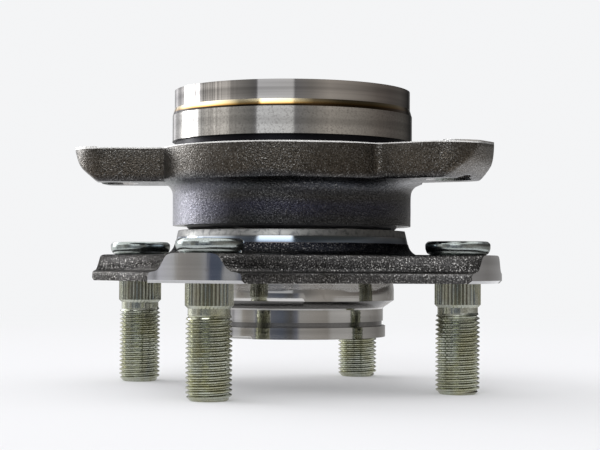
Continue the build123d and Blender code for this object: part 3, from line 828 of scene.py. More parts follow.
@dataclass(frozen=True)
class Screw:
    """A helical thread as a closed solid.

    Attributes:
        crest_r: radius over the crests.
        root_r: radius at the roots.
        pitch: rise per turn.
        low: lower end.
        high: upper end.
        tip: chamfer at the lower end.
        fade: length over which the thread dies out at the upper end.
        fade_r: the plain radius that it dies out to.
        steps: facets per turn.
        flanks: where the flanks start and end, as shares of the pitch.
        on_axis: radius under which a corner stands on the axis.
    """

    crest_r: float
    root_r: float
    pitch: float
    low: float
    high: float
    tip: float = 0.0
    fade: float = 0.0
    fade_r: float = 5.5
    steps: int = 40
    flanks: tuple[float, ...] = (0.0, 0.13, 0.44, 0.69)
    on_axis: float = 1e-6

    def mesh(self) -> Mesh:
        """Returns the thread on the Z axis."""
        turns = math.ceil((self.high - self.low) / self.pitch) + 4
        radii = (self.root_r, self.root_r, self.crest_r, self.crest_r)
        wire = [
            (radius, self.low + (turn - 2 + share) * self.pitch)
            for turn in range(turns) for share, radius in zip(self.flanks, radii)
        ]
        bm = spun(wire, self.steps, rise=self.pitch / self.steps)
        for height, outward in ((self.low, (0, 0, -1)), (self.high, (0, 0, 1))):
            cut = bmesh.ops.bisect_plane(
                bm, geom=bm.verts[:] + bm.edges[:] + bm.faces[:], dist=0.1 * WELD,
                plane_co=(0, 0, height * MM), plane_no=outward, clear_outer=True, clear_inner=False,
            )
            rim = [e for e in cut["geom_cut"] if isinstance(e, bmesh.types.BMEdge) and e.is_boundary]
            bmesh.ops.holes_fill(bm, edges=rim, sides=0)
        for vert in bm.verts:
            radius, height = vert.co.xy.length / MM, vert.co.z / MM
            if radius < self.on_axis:
                continue
            wanted = radius
            if self.tip:
                wanted = min(wanted, self.crest_r - self.tip + max(0.0, height - self.low))
            if self.fade and height > self.high - self.fade:
                share = (height - self.high + self.fade) / self.fade
                wanted += (self.fade_r - wanted) * share * share
            vert.co.xy *= wanted / radius
        bmesh.ops.recalc_face_normals(bm, faces=bm.faces)
        return bm


def joined(parts: Sequence[Mesh]) -> Mesh:
    """Puts several meshes into one; the parts are freed."""
    whole = bmesh.new()
    for part in parts:
        carrier = bpy.data.meshes.new("carrier")
        part.to_mesh(carrier)
        part.free()
        whole.from_mesh(carrier)
        bpy.data.meshes.remove(carrier)
    return whole


def moved_copy(node: Thing, rise: float = 0.0) -> Mesh:
    """Returns a frame node's mesh, merged and moved along the axis by a number of millimetres."""
    bm = bmesh.new()
    bm.from_mesh(node.data)
    bmesh.ops.remove_doubles(bm, verts=bm.verts, dist=1e-6)
    bmesh.ops.translate(bm, verts=bm.verts, vec=(0, 0, rise * MM))
    return bm


def drum(
    place: Vector, radius: float, low: float, high: float, segments: int = 64, top: float | None = None
) -> Mesh:
    """Makes a closed drum about a point of the plan.

    Args:
        place: the point, in metres.
        radius: radius at the bottom, in millimetres.
        low: bottom.
        high: top.
        segments: facets round it.
        top: radius at the top, or None for a straight drum.

    Returns:
        The drum.
    """
    bm = bmesh.new()
    middle = Vector((place.x, place.y, (low + high) / 2 * MM))
    bmesh.ops.create_cone(
        bm, cap_ends=True, segments=segments, radius1=radius * MM, radius2=(top or radius) * MM,
        depth=(high - low) * MM, matrix=Matrix.Translation(middle),
    )
    return bm


def machined(
    blank: Thing, name: str, cuts: Sequence[tuple[Thing, Keep]], angle: float = SHARP_ANGLE,
    tolerant: bool = True,
) -> Thing:
    """Cuts a blank, merges its loose corners and sets its sharp edges.

    Args:
        blank: the blank; it is removed.
        name: the finished piece.
        cuts: cutters with what each keeps; they are removed. Their finishes show on the cuts.
        angle: turn from which an edge is sharp.
        tolerant: whether the cuts allow for holes in the blank.

    Returns:
        The finished piece.
    """
    for cutter, keep in cuts:
        cut = blank.modifiers.new("cut", "BOOLEAN")
        cut.operation = keep.value
        cut.object = cutter
        cut.solver = "EXACT"
        cut.use_hole_tolerant = tolerant
        cut.material_mode = "TRANSFER"
    piece = baked(blank, name)
    for cutter, _ in cuts:
        bpy.data.objects.remove(cutter)
    bm = bmesh.new()
    bm.from_mesh(piece.data)
    bmesh.ops.remove_doubles(bm, verts=bm.verts, dist=2 * WELD)
    set_sharp(bm, angle)
    bm.to_mesh(piece.data)
    bm.free()
    return piece


@dataclass
class Forging:
    """A forged blank grown from a frame node.

    Attributes:
        name: the finished piece.
        node: the frame node that has its outside.
        stock: extra material that fills what is machined later.
        skin: the forged finish.
        voxel: size of the skin's mesh.
        easing: rounds of smoothing that soften the blank's edges.
        growth: how far the skin is grown, so that cuts meet it everywhere.
        ripple: depth of the die's unevenness.
        waves: its waves, each with its number per metre and its share.
    """

    name: str
    node: Thing
    stock: Sequence[Mesh]
    skin: Finish
    voxel: float = 0.55
    easing: int = 3
    growth: float = 0.14
    ripple: float = 0.09
    waves: tuple[tuple[float, float], ...] = ((140.0, 0.6), (420.0, 0.4))

    def blank(self) -> Thing:
        """Returns the blank with its softened, uneven skin."""
        raw = as_object(self.name + "_raw", joined([moved_copy(self.node), *self.stock]), [])
        skin = raw.modifiers.new("skin", "REMESH")
        skin.mode = "VOXEL"
        skin.voxel_size = self.voxel * MM * 1.0
        rough = baked(raw, self.name + "_blank")
        rough.data.materials.clear()
        rough.data.materials.append(self.skin.material())
        bm = bmesh.new()
        bm.from_mesh(rough.data)
        for _ in range(self.easing):
            bmesh.ops.smooth_vert(
                bm, verts=bm.verts, factor=0.5, use_axis_x=True, use_axis_y=True, use_axis_z=True
            )
        bm.normal_update()
        for vert in bm.verts:
            wave = sum(noise.noise(vert.co * scale) * share for scale, share in self.waves)
            vert.co += vert.normal * MM * (self.growth - self.ripple * (0.5 + 0.5 * wave))
        bm.to_mesh(rough.data)
        bm.free()
        return rough

    def machined(self, cuts: Sequence[tuple[Thing, Keep]]) -> Thing:
        """Returns the piece with the cuts made in its blank."""
        return machined(self.blank(), self.name, cuts)


def settle(piece: Thing, body: Body, slot: Slot, *replaced: str) -> None:
    """Gives a piece its body, hides the frame nodes that it stands for, and logs it.

    Args:
        piece: the finished object.
        body: the moving group that carries it.
        slot: a material slot; not used.
        *replaced: frame nodes that it stands for.
    """
    if replaced:
        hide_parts(*replaced)
    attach(piece, body.value)
    log.info("%s: %d faces on %s", piece.name, len(piece.data.polygons), body.value)


# ---- sub-assemblies
# Sizes are millimetres and degrees. A name that ends in _r is a radius, in _z a level and in _t a
# thickness; an inset keeps a machined face just inside the frame's own.


@dataclass(frozen=True)
class RollingSet:
    """Sizes of the balls and raceways, which several pieces share.

    Attributes:
        pitch_r: circle through the ball centres.
        groove_r: radius of a raceway's arc.
        shift_r: how far an arc's centre is moved along the radius.
        shift_z: and along the axis.
        outboard_z: level of the row near the wheel.
        inboard_z: level of the row near the knuckle.
        outer_land_r: bore between the outer raceways.
        inner_land_r: shoulders beside the inner raceways.
        inner_race_r: radius at the bottom of an inner raceway.
        seat_r: the seat of the inner ring.
        seat_z: lower and upper end of that seat.
        corners: corners on an arc.
    """

    pitch_r: float = 25.5
    groove_r: float = 5.2
    shift_r: float = 0.0766
    shift_z: float = 0.0643
    outboard_z: float = 25.5
    inboard_z: float = 43.0
    outer_land_r: float = 27.6
    inner_land_r: float = 24.5
    inner_race_r: float = 20.3766
    seat_r: float = 17.5766
    seat_z: tuple[float, float] = (35.4, 52.0)
    corners: int = 9

    def arc(self, r: float, z: float, start: float, end: float) -> list[Corner]:
        """Returns a raceway about a centre, between two directions in radians from outwards."""
        turns = [start + (end - start) * i / (self.corners - 1) for i in range(self.corners)]
        points = ((r + self.groove_r * math.cos(a), z + self.groove_r * math.sin(a)) for a in turns)
        return profile(RACE_GROUND, *points)

    def outer_arc(self, row_z: float, side: int) -> list[Corner]:
        """Outer raceway from its bottom to the land; side is +1 where the land is above the row."""
        r = self.pitch_r - self.shift_r
        edge = math.acos((self.outer_land_r - r) / self.groove_r)
        return self.arc(r, row_z - side * self.shift_z, 0.0, side * edge)

    def inner_arc(self, row_z: float, side: int) -> list[Corner]:
        """Inner raceway from its shoulder to its bottom; side is +1 where the shoulder is below."""
        r = self.pitch_r + self.shift_r
        edge = math.acos((r - self.inner_land_r) / self.groove_r)
        return self.arc(r, row_z + side * self.shift_z, math.pi + side * edge, math.pi)


ROLLING = RollingSet()


@dataclass
class OuterRing:
    """Eared outer ring: forged body and ears, and the ground spigot."""

    ear_angles: tuple[float, ...] = (178.0, -33.0, 72.5)
    hole_circle_r: float = 50.5
    tap_r: float = 5.35
    thread_r: float = 6.0
    thread_pitch: float = 1.25
    mouth_r: float = 6.95
    mouth_end_r: float = 5.45
    end_z: float = 15.8
    underside_z: float = 28.0
    face_z: float = 37.6
    turned_r: float = 55.6
    tip_r: float = 61.9
    flange_r: float = 36.7
    seal_bore_r: float = 30.8
    race_r: float = 30.6234
    seat_depth: float = 5.0
    undercut_r: float = 33.2
    spigot_z: float = 39.7
    spigot_r: float = 34.3
    step_z: float = 47.0
    lead_z: float = 49.0
    lead_r: float = 33.7
    top_z: float = 54.2
    bore_filling: tuple[float, ...] = (26.0, 32.6, 17.0, 39.0)
    foot_bore_r: float = 30.0
    raised: float = 1.2
    inset: float = 0.03

    def forging(self, node: Thing) -> Thing:
        """Body and ears with the turned face, the bore and the threaded holes."""
        stock = []
        foot = (self.foot_bore_r, self.spigot_r - 0.3, self.end_z - 1, self.end_z + 4)
        for inner, outer, low, high in (self.bore_filling, foot):
            filling = profile(RING_FORGING, (inner, low), (outer, low), (outer, high), (inner, high))
            stock.append(turned_mesh(filling, [RING_FORGING], 160))
        stock.append(moved_copy(node, self.raised))
        face, skin, end = self.face_z - self.inset, self.face_z + 0.28, self.end_z + self.inset
        seat = self.end_z + self.seat_depth
        outline = profile(
            RACE_GROUND, (self.seal_bore_r, self.end_z, 0.25), (self.seal_bore_r, seat),
            (self.race_r, seat), *ROLLING.outer_arc(ROLLING.outboard_z, 1),
            TURNED_RING, (ROLLING.outer_land_r, face), (self.turned_r, face),
            RING_FORGING, (self.turned_r, skin), (self.tip_r, skin),
            TURNED_RING, (self.tip_r, end), (self.seal_bore_r + 0.01, end),
        )
        cuts = [(turned("ring_envelope", outline), Keep.INSIDE)]
        for number, angle in enumerate(self.ear_angles, start=1):
            place = polar(self.hole_circle_r, angle)
            hole = Screw(
                self.thread_r, self.tap_r, self.thread_pitch, self.underside_z - 1, self.face_z + 1
            ).mesh()
            bmesh.ops.translate(hole, verts=hole.verts, vec=place)
            below = drum(
                place, self.mouth_r, self.underside_z - 0.6, self.underside_z + 0.9, 56, self.mouth_end_r
            )
            above = drum(place, self.mouth_end_r, self.face_z - 0.9, self.face_z + 0.6, 56, self.mouth_r)
            for index, part in enumerate((hole, below, above)):
                cuts.append((as_object(f"tap_{number}_{index}", part, [TURNED_RING]), Keep.OUTSIDE))
        return Forging("outer_ring_forging", node, stock, RING_FORGING, growth=0.08).machined(cuts)

    def spigot(self) -> Thing:
        """Ground spigot with its undercut, step and lead-in, and the inboard half of the bore."""
        seat, foot = self.top_z - self.seat_depth, self.face_z - 0.5
        lip_r, lip_z = self.flange_r + 0.13, self.face_z - 0.02
        outline = profile(
            RACE_GROUND, (ROLLING.outer_land_r, foot),
            *reversed(ROLLING.outer_arc(ROLLING.inboard_z, -1)),
            (self.race_r, seat), (self.seal_bore_r, seat),
            TURNED_RING, (self.seal_bore_r, self.top_z, 0.3),
            SPIGOT_LEAD, (self.lead_r, self.top_z, 0.5),
            SPIGOT_STRAW, (self.lead_r, self.lead_z),
            SPIGOT_SEAT, (self.spigot_r, self.step_z, 0.15),
            DARK_RECESS, (self.spigot_r, self.spigot_z, 0.2), (self.undercut_r, self.spigot_z),
            TURNED_RING, (self.undercut_r, lip_z), (lip_r - 0.12, lip_z), (lip_r, lip_z - 0.14),
            (lip_r, foot),
        )
        return turned("outer_ring_spigot", outline, 300)

    def build(self, nodes: dict[str, Thing]) -> None:
        """Builds and dresses the ring."""
        forging = self.forging(nodes["outer_ring"])
        settle(forging, Body.KNUCKLE_SIDE, Slot.BEARING_RING_STEEL, "outer_ring")
        settle(self.spigot(), Body.KNUCKLE_SIDE, Slot.BEARING_RING_STEEL)


@dataclass
class Hub:
    """Wheel hub: forged star flange and turned core."""

    stud_angles: tuple[float, ...] = (-24.5, 65.5, 155.5, 245.5)
    stud_circle_r: float = 50.0
    stud_bore_r: float = 6.15
    flange_bore_r: float = 28.9
    flange_r: float = 60.0
    flange_edge: float = 0.8
    boss_top: float = 7.6
    spot_face_r: float = 9.6
    rim_pad_r: float = 15.8
    rim_t: float = 2.8
    boss_pad_r: float = 11.8
    boss_draft: float = 1.8
    foot_r: float = 33.3
    foot_z: float = 10.6
    smear_z: float = 12.6
    shoulder_r: float = 32.4
    shoulder_z: float = 14.5
    nose_r: float = 21.9766
    nose_z: float = 55.4
    brake_pilot_r: float = 29.35
    brake_pilot_end: float = -5.0
    relief_top: float = -1.9
    relief_r: float = 26.25
    cone_end: float = -7.0
    groove_start: float = -10.8
    groove_r: float = 25.9
    groove_end: float = -12.2
    wheel_pilot_r: float = 26.9
    pilot_end: float = -15.3
    recess_r: float = 21.5
    recess_floor: float = 1.5
    recess_edge: float = 1.2
    spline_teeth: int = 26
    spline_major_r: float = 12.7
    spline_minor_r: float = 11.5
    lead_in: float = 1.6
    filling_r: float = 7.2
    lowered: float = 1.2
    inset: float = 0.02

    def flange(self, node: Thing) -> Thing:
        """Star forging with its rotor face, outside, stud bores and spot faces."""
        stock = [moved_copy(node, -self.lowered)]
        places = [polar(self.stud_circle_r, angle) for angle in self.stud_angles]
        draft_r = self.boss_pad_r + self.boss_draft
        for place in places:
            stock.append(drum(place, self.filling_r, 0.4, self.boss_top - 0.3))
            stock.append(drum(place, self.rim_pad_r, -1, self.rim_t, 120))
            stock.append(drum(place, draft_r, self.rim_t - 0.5, self.boss_top, 120, self.boss_pad_r))
        outside, inside, ceiling = self.flange_r - 0.03, self.foot_r + 0.06, 20
        outline = profile(
            TURNED_HUB, (self.flange_bore_r, self.inset),
            ARM_TURNED, (self.flange_r - self.flange_edge, self.inset), (outside, self.flange_edge),
            HUB_FORGING, (outside, ceiling), (inside, ceiling), (inside, self.foot_z),
            (self.flange_bore_r, self.foot_z),
        )
        cuts = [(turned("flange_envelope", outline, 320), Keep.INSIDE)]
        for number, place in enumerate(places, start=1):
            tools = {
                "stud_bore": drum(place, self.stud_bore_r, -1, 12),
                "spot_face": drum(place, self.spot_face_r, self.boss_top - 0.05, 14),
                "bore_mouth": drum(place, self.stud_bore_r + 0.7, -0.2, 0.8, top=self.stud_bore_r - 0.3),
            }
            for name, tool in tools.items():
                cuts.append((as_object(f"{name}_{number}", tool, [TURNED_HUB]), Keep.OUTSIDE))
        return Forging("hub_star_flange", node, stock, HUB_FORGING, voxel=0.6).machined(cuts)

    def core(self) -> Thing:
        """Pilots, shoulder, raceway, seat and rolled nose, with the splined bore."""
        pilot_r, neck_r = self.brake_pilot_r, self.brake_pilot_r - 0.3
        seat_low, seat_high = ROLLING.seat_z
        outline = profile(
            TURNED_HUB, (0, self.recess_floor), (self.recess_r, self.recess_floor, 1.8),
            (self.recess_r, self.pilot_end + self.recess_edge),
            (self.recess_r + self.recess_edge, self.pilot_end),
            PILOT_TURNED, (self.wheel_pilot_r, self.pilot_end, 0.8),
            (self.wheel_pilot_r, self.groove_end, 0.12),
            # The groove and the cone below the brake pilot take the darkened steel: painted shade.
            PILOT_PAINTED_SHADE, (self.groove_r, self.groove_end), (self.groove_r, self.groove_start),
            PILOT_TURNED, (self.relief_r, self.groove_start), (self.relief_r, self.cone_end - 0.4),
            PILOT_PAINTED_SHADE, (self.relief_r + 0.2, self.cone_end),
            PILOT_TURNED, (pilot_r, self.brake_pilot_end, 0.25), (pilot_r, self.relief_top),
            (neck_r, 0.3), TURNED_HUB, (neck_r, 0.6), (pilot_r, self.foot_z - 0.3),
            SHOULDER_BLUED, (self.foot_r, self.foot_z - 0.1), (self.foot_r, self.foot_z),
            SHOULDER_SMEARED, ((self.foot_r + self.shoulder_r) / 2, self.smear_z),
            RACE_GROUND, (self.shoulder_r, self.shoulder_z, 0.2),
            (ROLLING.inner_land_r, self.shoulder_z), *ROLLING.inner_arc(ROLLING.outboard_z, 1),
            (ROLLING.inner_race_r, seat_low), (ROLLING.seat_r, seat_low),
            TURNED_HUB, (ROLLING.seat_r, seat_high), (self.nose_r, seat_high),
            (self.nose_r, self.nose_z, 1.7), (0, self.nose_z),
        )
        core = turned("hub_core_solid", outline, 260)
        tools = [self.broach()]
        wide = self.spline_minor_r + 2 * self.lead_in
        for mouth, depth in ((self.recess_floor, self.lead_in), (self.nose_z, -self.lead_in)):
            near, far = mouth - depth, mouth + depth
            cone = profile(TURNED_HUB, (0, near), (wide, near), (self.spline_minor_r, far), (0, far))
            tools.append(turned("lead_in", cone, self.spline_teeth * 4))
        cuts = [(tool, Keep.OUTSIDE) for tool in tools]
        return machined(core, "hub_core", cuts, TURNED_SHARP_ANGLE, tolerant=False)

    def broach(self) -> Thing:
        """The spline as a solid tool: a drum whose rim is pushed in and out tooth by tooth."""
        bm, rim = rim_disc(self.spline_teeth * 4, self.spline_major_r, self.recess_floor - 4)
        shares = (-0.21, 0.21, 0.3, 0.7)
        radii = (self.spline_major_r, self.spline_major_r, self.spline_minor_r, self.spline_minor_r)
        for index, vert in enumerate(rim):
            turn = (index // 4 + shares[index % 4]) * FULL_TURN / self.spline_teeth
            vert.co.xy = Vector((math.cos(turn), math.sin(turn))) * radii[index % 4] * MM
        lifted(bm, bm.faces[:], self.nose_z - self.recess_floor + 8)
        bmesh.ops.recalc_face_normals(bm, faces=bm.faces)
        return as_object("spline_broach", bm, [BROACHED])

    def build(self, nodes: dict[str, Thing]) -> None:
        """Builds and dresses the hub."""
        settle(self.flange(nodes["hub"]), Body.WHEEL_SIDE, Slot.HUB_STEEL, "hub")
        settle(self.core(), Body.WHEEL_SIDE, Slot.HUB_STEEL)


@dataclass
class WheelStud:
    """A pressed-in wheel stud with head, serrated shank, neck and rolled thread."""

    number: int
    angle: float
    circle_r: float = 50.0
    thread_r: float = 6.0
    root_r: float = 5.24
    pitch: float = 1.25
    tip_z: float = -30.0
    tip: float = 1.2
    thread_top: float = -7.9
    thread_fade: float = 2.0
    neck_r: float = 5.5
    knurl_end: float = -6.5
    knurl_tip_r: float = 6.28
    knurl_root_r: float = 5.98
    knurl_teeth: int = 36
    head_z: float = 7.6
    head_r: float = 8.9
    head_top: float = 11.5
    twist: float = 37.0

    def serrations(self) -> Mesh:
        """Serrated shank, tapered at its lower end."""
        bm, rim = rim_disc(self.knurl_teeth * 4, self.knurl_tip_r, self.knurl_end)
        for index, vert in enumerate(rim):
            radius = self.knurl_root_r if index % 4 < 2 else self.knurl_tip_r
            vert.co.xy = vert.co.xy.normalized() * radius * MM
        rise = self.knurl_tip_r - self.neck_r
        levels = (self.knurl_end, self.knurl_end + rise, self.head_z + 0.2)
        face = bm.faces[:]
        for low, high in zip(levels, levels[1:]):
            face = lifted(bm, face, high - low)
        for vert in rim:
            vert.co.xy = vert.co.xy.normalized() * self.neck_r * MM
        inner = [
            face for face in bm.faces
            if len(face.verts) > 4
            and levels[0] + 0.01 < face.calc_center_median().z / MM < levels[2] - 0.01
        ]
        bmesh.ops.delete(bm, geom=inner, context="FACES")
        bmesh.ops.recalc_face_normals(bm, faces=bm.faces)
        set_sharp(bm)
        # The roots between the serrations take the darker zinc: painted shade.
        flat = (self.knurl_root_r + self.knurl_tip_r) / 2 * MM * math.cos(math.radians(3))
        for face in bm.faces:
            if abs(face.normal.z) < 0.1 and face.calc_center_median().xy.length < flat:
                face.material_index = 2
        return bm

    def build(self) -> None:
        """Builds and dresses the stud."""
        finishes = [STUD_ZINC, STUD_HEAD_ZINC, STUD_ROOT_SHADE]
        thread = Screw(
            self.thread_r, self.root_r, self.pitch, self.tip_z, self.thread_top, self.tip,
            self.thread_fade, self.neck_r,
        ).mesh()
        set_sharp(thread)
        low, high = self.thread_top - 0.3, self.knurl_end + 0.3
        neck = profile(STUD_ZINC, (0, low), (self.neck_r, low), (self.neck_r, high), (0, high))
        base, side, top = self.head_z, self.head_r - 0.02, self.head_top
        head = profile(
            STUD_HEAD_ZINC, (0, base - 0.2), (6.0, base - 0.2), (self.head_r - 1.6, base - 0.02),
            (self.head_r - 0.55, base + 0.55, 0.35), (side, base + 1.7, 0.5), (side, top - 0.75, 0.35),
            (self.head_r - 0.8, top - 0.02, 0.3), (self.head_r - 2.1, top - 0.1, 0.4),
            (self.head_r - 2.9, top - 0.45, 0.4), (0, top - 0.3),
        )
        neck_mesh, head_mesh = turned_mesh(neck, finishes, 48), turned_mesh(head, finishes, 72)
        whole = joined([thread, neck_mesh, self.serrations(), head_mesh])
        turn = Matrix.Rotation(math.radians(self.twist * self.number), 4, "Z")
        bmesh.ops.transform(whole, matrix=turn, verts=whole.verts)
        bmesh.ops.translate(whole, verts=whole.verts, vec=polar(self.circle_r, self.angle))
        stud = as_object(f"wheel_stud_{self.number}_threaded", whole, finishes)
        settle(stud, Body.WHEEL_SIDE, Slot.ZINC_STEEL, f"wheel_stud_{self.number}")


@dataclass
class SealsAndInnerRing:
    """Inner ring, seal cases, lips, slinger and encoder ring."""

    bore_r: float = 30.79
    case_r: float = 30.0
    web_r: float = 27.2
    outboard_start: float = 16.3
    outboard_end: float = 20.2
    outboard_face: float = 14.7
    cassette_start: float = 49.2
    cassette_t: float = 3.1
    slinger_face: float = 52.8
    slinger_back: float = 52.2
    slinger_r: float = 29.6
    encoder_t: float = 0.9
    lip_t: float = 0.7
    sheet: float = 0.8

    def build(self) -> None:
        """Builds and dresses the pieces."""
        low, high = ROLLING.seat_z
        outline = profile(
            *ROLLING.inner_arc(ROLLING.inboard_z, -1),
            RACE_GROUND, (ROLLING.inner_race_r, low, 0.2), (ROLLING.seat_r, low, 0.3),
            (ROLLING.seat_r, high, 0.3), (ROLLING.inner_land_r, high, 0.9),
        )
        ring = turned("inner_ring_ground", outline)
        settle(ring, Body.WHEEL_SIDE, Slot.GROUND_STEEL, "inner_ring")
        self.outboard()
        self.inboard()

    def outboard(self) -> None:
        """The seal at the wheel end."""
        bore, case, web_r, t = self.bore_r, self.case_r, self.web_r, self.lip_t
        start, end, face = self.outboard_start, self.outboard_end, self.outboard_face
        web, root, ride = end - self.sheet, web_r - t, ROLLING.inner_land_r + 0.2
        heel, back = web - t, end + t / 2
        sheet = (case, start), (bore, start), (bore, end), (web_r, end), (web_r, web), (case, web)
        lips = (
            (case, web), (case, face + t), (case - t, face), (case - 2 * t, heel), (web_r, heel),
            (ride, face + 2 * t), (ride, face + 3 * t), (root, heel + t), (ride, end), (root, back),
            (web_r, back), (web_r, web),
        )
        self.ring("outboard_seal_pressing", "outboard_seal_case", sheet, SEAL_PRESSED, 0.2)
        self.ring("outboard_seal_lips", "outboard_seal_lip", lips, SEAL_NITRILE, 0.12)

    def inboard(self) -> None:
        """The cassette at the knuckle end, with its slinger and encoder ring."""
        bore, case, web_r, t = self.bore_r, self.case_r, self.web_r, self.lip_t
        face, back, out = self.slinger_face, self.slinger_back, self.slinger_r
        start, top = self.cassette_start, face + self.encoder_t
        web, rim = start + self.sheet, start + self.cassette_t
        land, sleeve = ROLLING.inner_land_r, ROLLING.inner_land_r + 0.6
        ride, inner = sleeve + 0.2, sleeve + 0.6
        sheet = (web_r, start), (bore, start), (bore, rim), (case, rim), (case, web), (web_r, web)
        slinger = (land, web), (sleeve, web), (sleeve, back), (out, back), (out, face), (land, face)
        encoder = (inner, face), (out, face), (out, top), (inner, top)
        lips = (
            (web_r, start), (web_r, web), (case, web), (case, web + t), (case - t, back - 0.2),
            (web_r + t, web + t), (ride, web + 2 * t), (ride, web + t), (web_r - t, start),
        )
        self.ring("inboard_seal_pressing", "inboard_seal_case", sheet, SEAL_PRESSED, 0.2)
        self.ring("slinger_pressing", "slinger", slinger, SEAL_PRESSED, 0.15, Body.WHEEL_SIDE)
        self.ring("encoder_band", "encoder_ring", encoder, ENCODER_FILLED, 0.25, Body.WHEEL_SIDE)
        self.ring("inboard_seal_lips", "inboard_seal_lip", lips, SEAL_NITRILE, 0.12)

    @staticmethod
    def ring(
        name: str, node: str, points: Sequence[Sequence[float]], finish: Finish, rounding: float,
        body: Body = Body.KNUCKLE_SIDE,
    ) -> None:
        """Turns one thin ring and settles it.

        Args:
            name: the piece.
            node: the frame node that it stands for.
            points: radius and height of its corners, in order.
            finish: its finish, which also tells its material slot.
            rounding: radius that breaks its corners.
            body: the moving group that carries it.
        """
        slots = {
            SEAL_PRESSED: Slot.SEAL_SHEET, SEAL_NITRILE: Slot.SEAL_RUBBER,
            ENCODER_FILLED: Slot.ENCODER_RUBBER,
        }
        outline = profile(finish, *((r, z, rounding) for r, z in points))
        settle(turned(name, outline, 180), body, slots[finish], node)


@dataclass
class RollingElements:
    """Balls and cages, which keep the frame's own meshes."""

    rows: tuple[str, ...] = ("outboard", "inboard")

    def build(self, nodes: dict[str, Thing]) -> None:
        """Dresses each ball and cage."""
        for name, node in nodes.items():
            if name.startswith(self.rows) and ("_ball_" in name or name.endswith("_cage")):
                self.dress(node, BALL_POLISHED if "_ball_" in name else CAGE_NATURAL)

    @staticmethod
    def dress(node: Thing, finish: Finish) -> None:
        """Puts the finish on a frame node."""
        if not node.material_slots:
            node.data.materials.append(None)
        for slot in node.material_slots:
            slot.link = "OBJECT"
            slot.material = finish.material()
        log.info("%s: %s", node.name, finish.name)


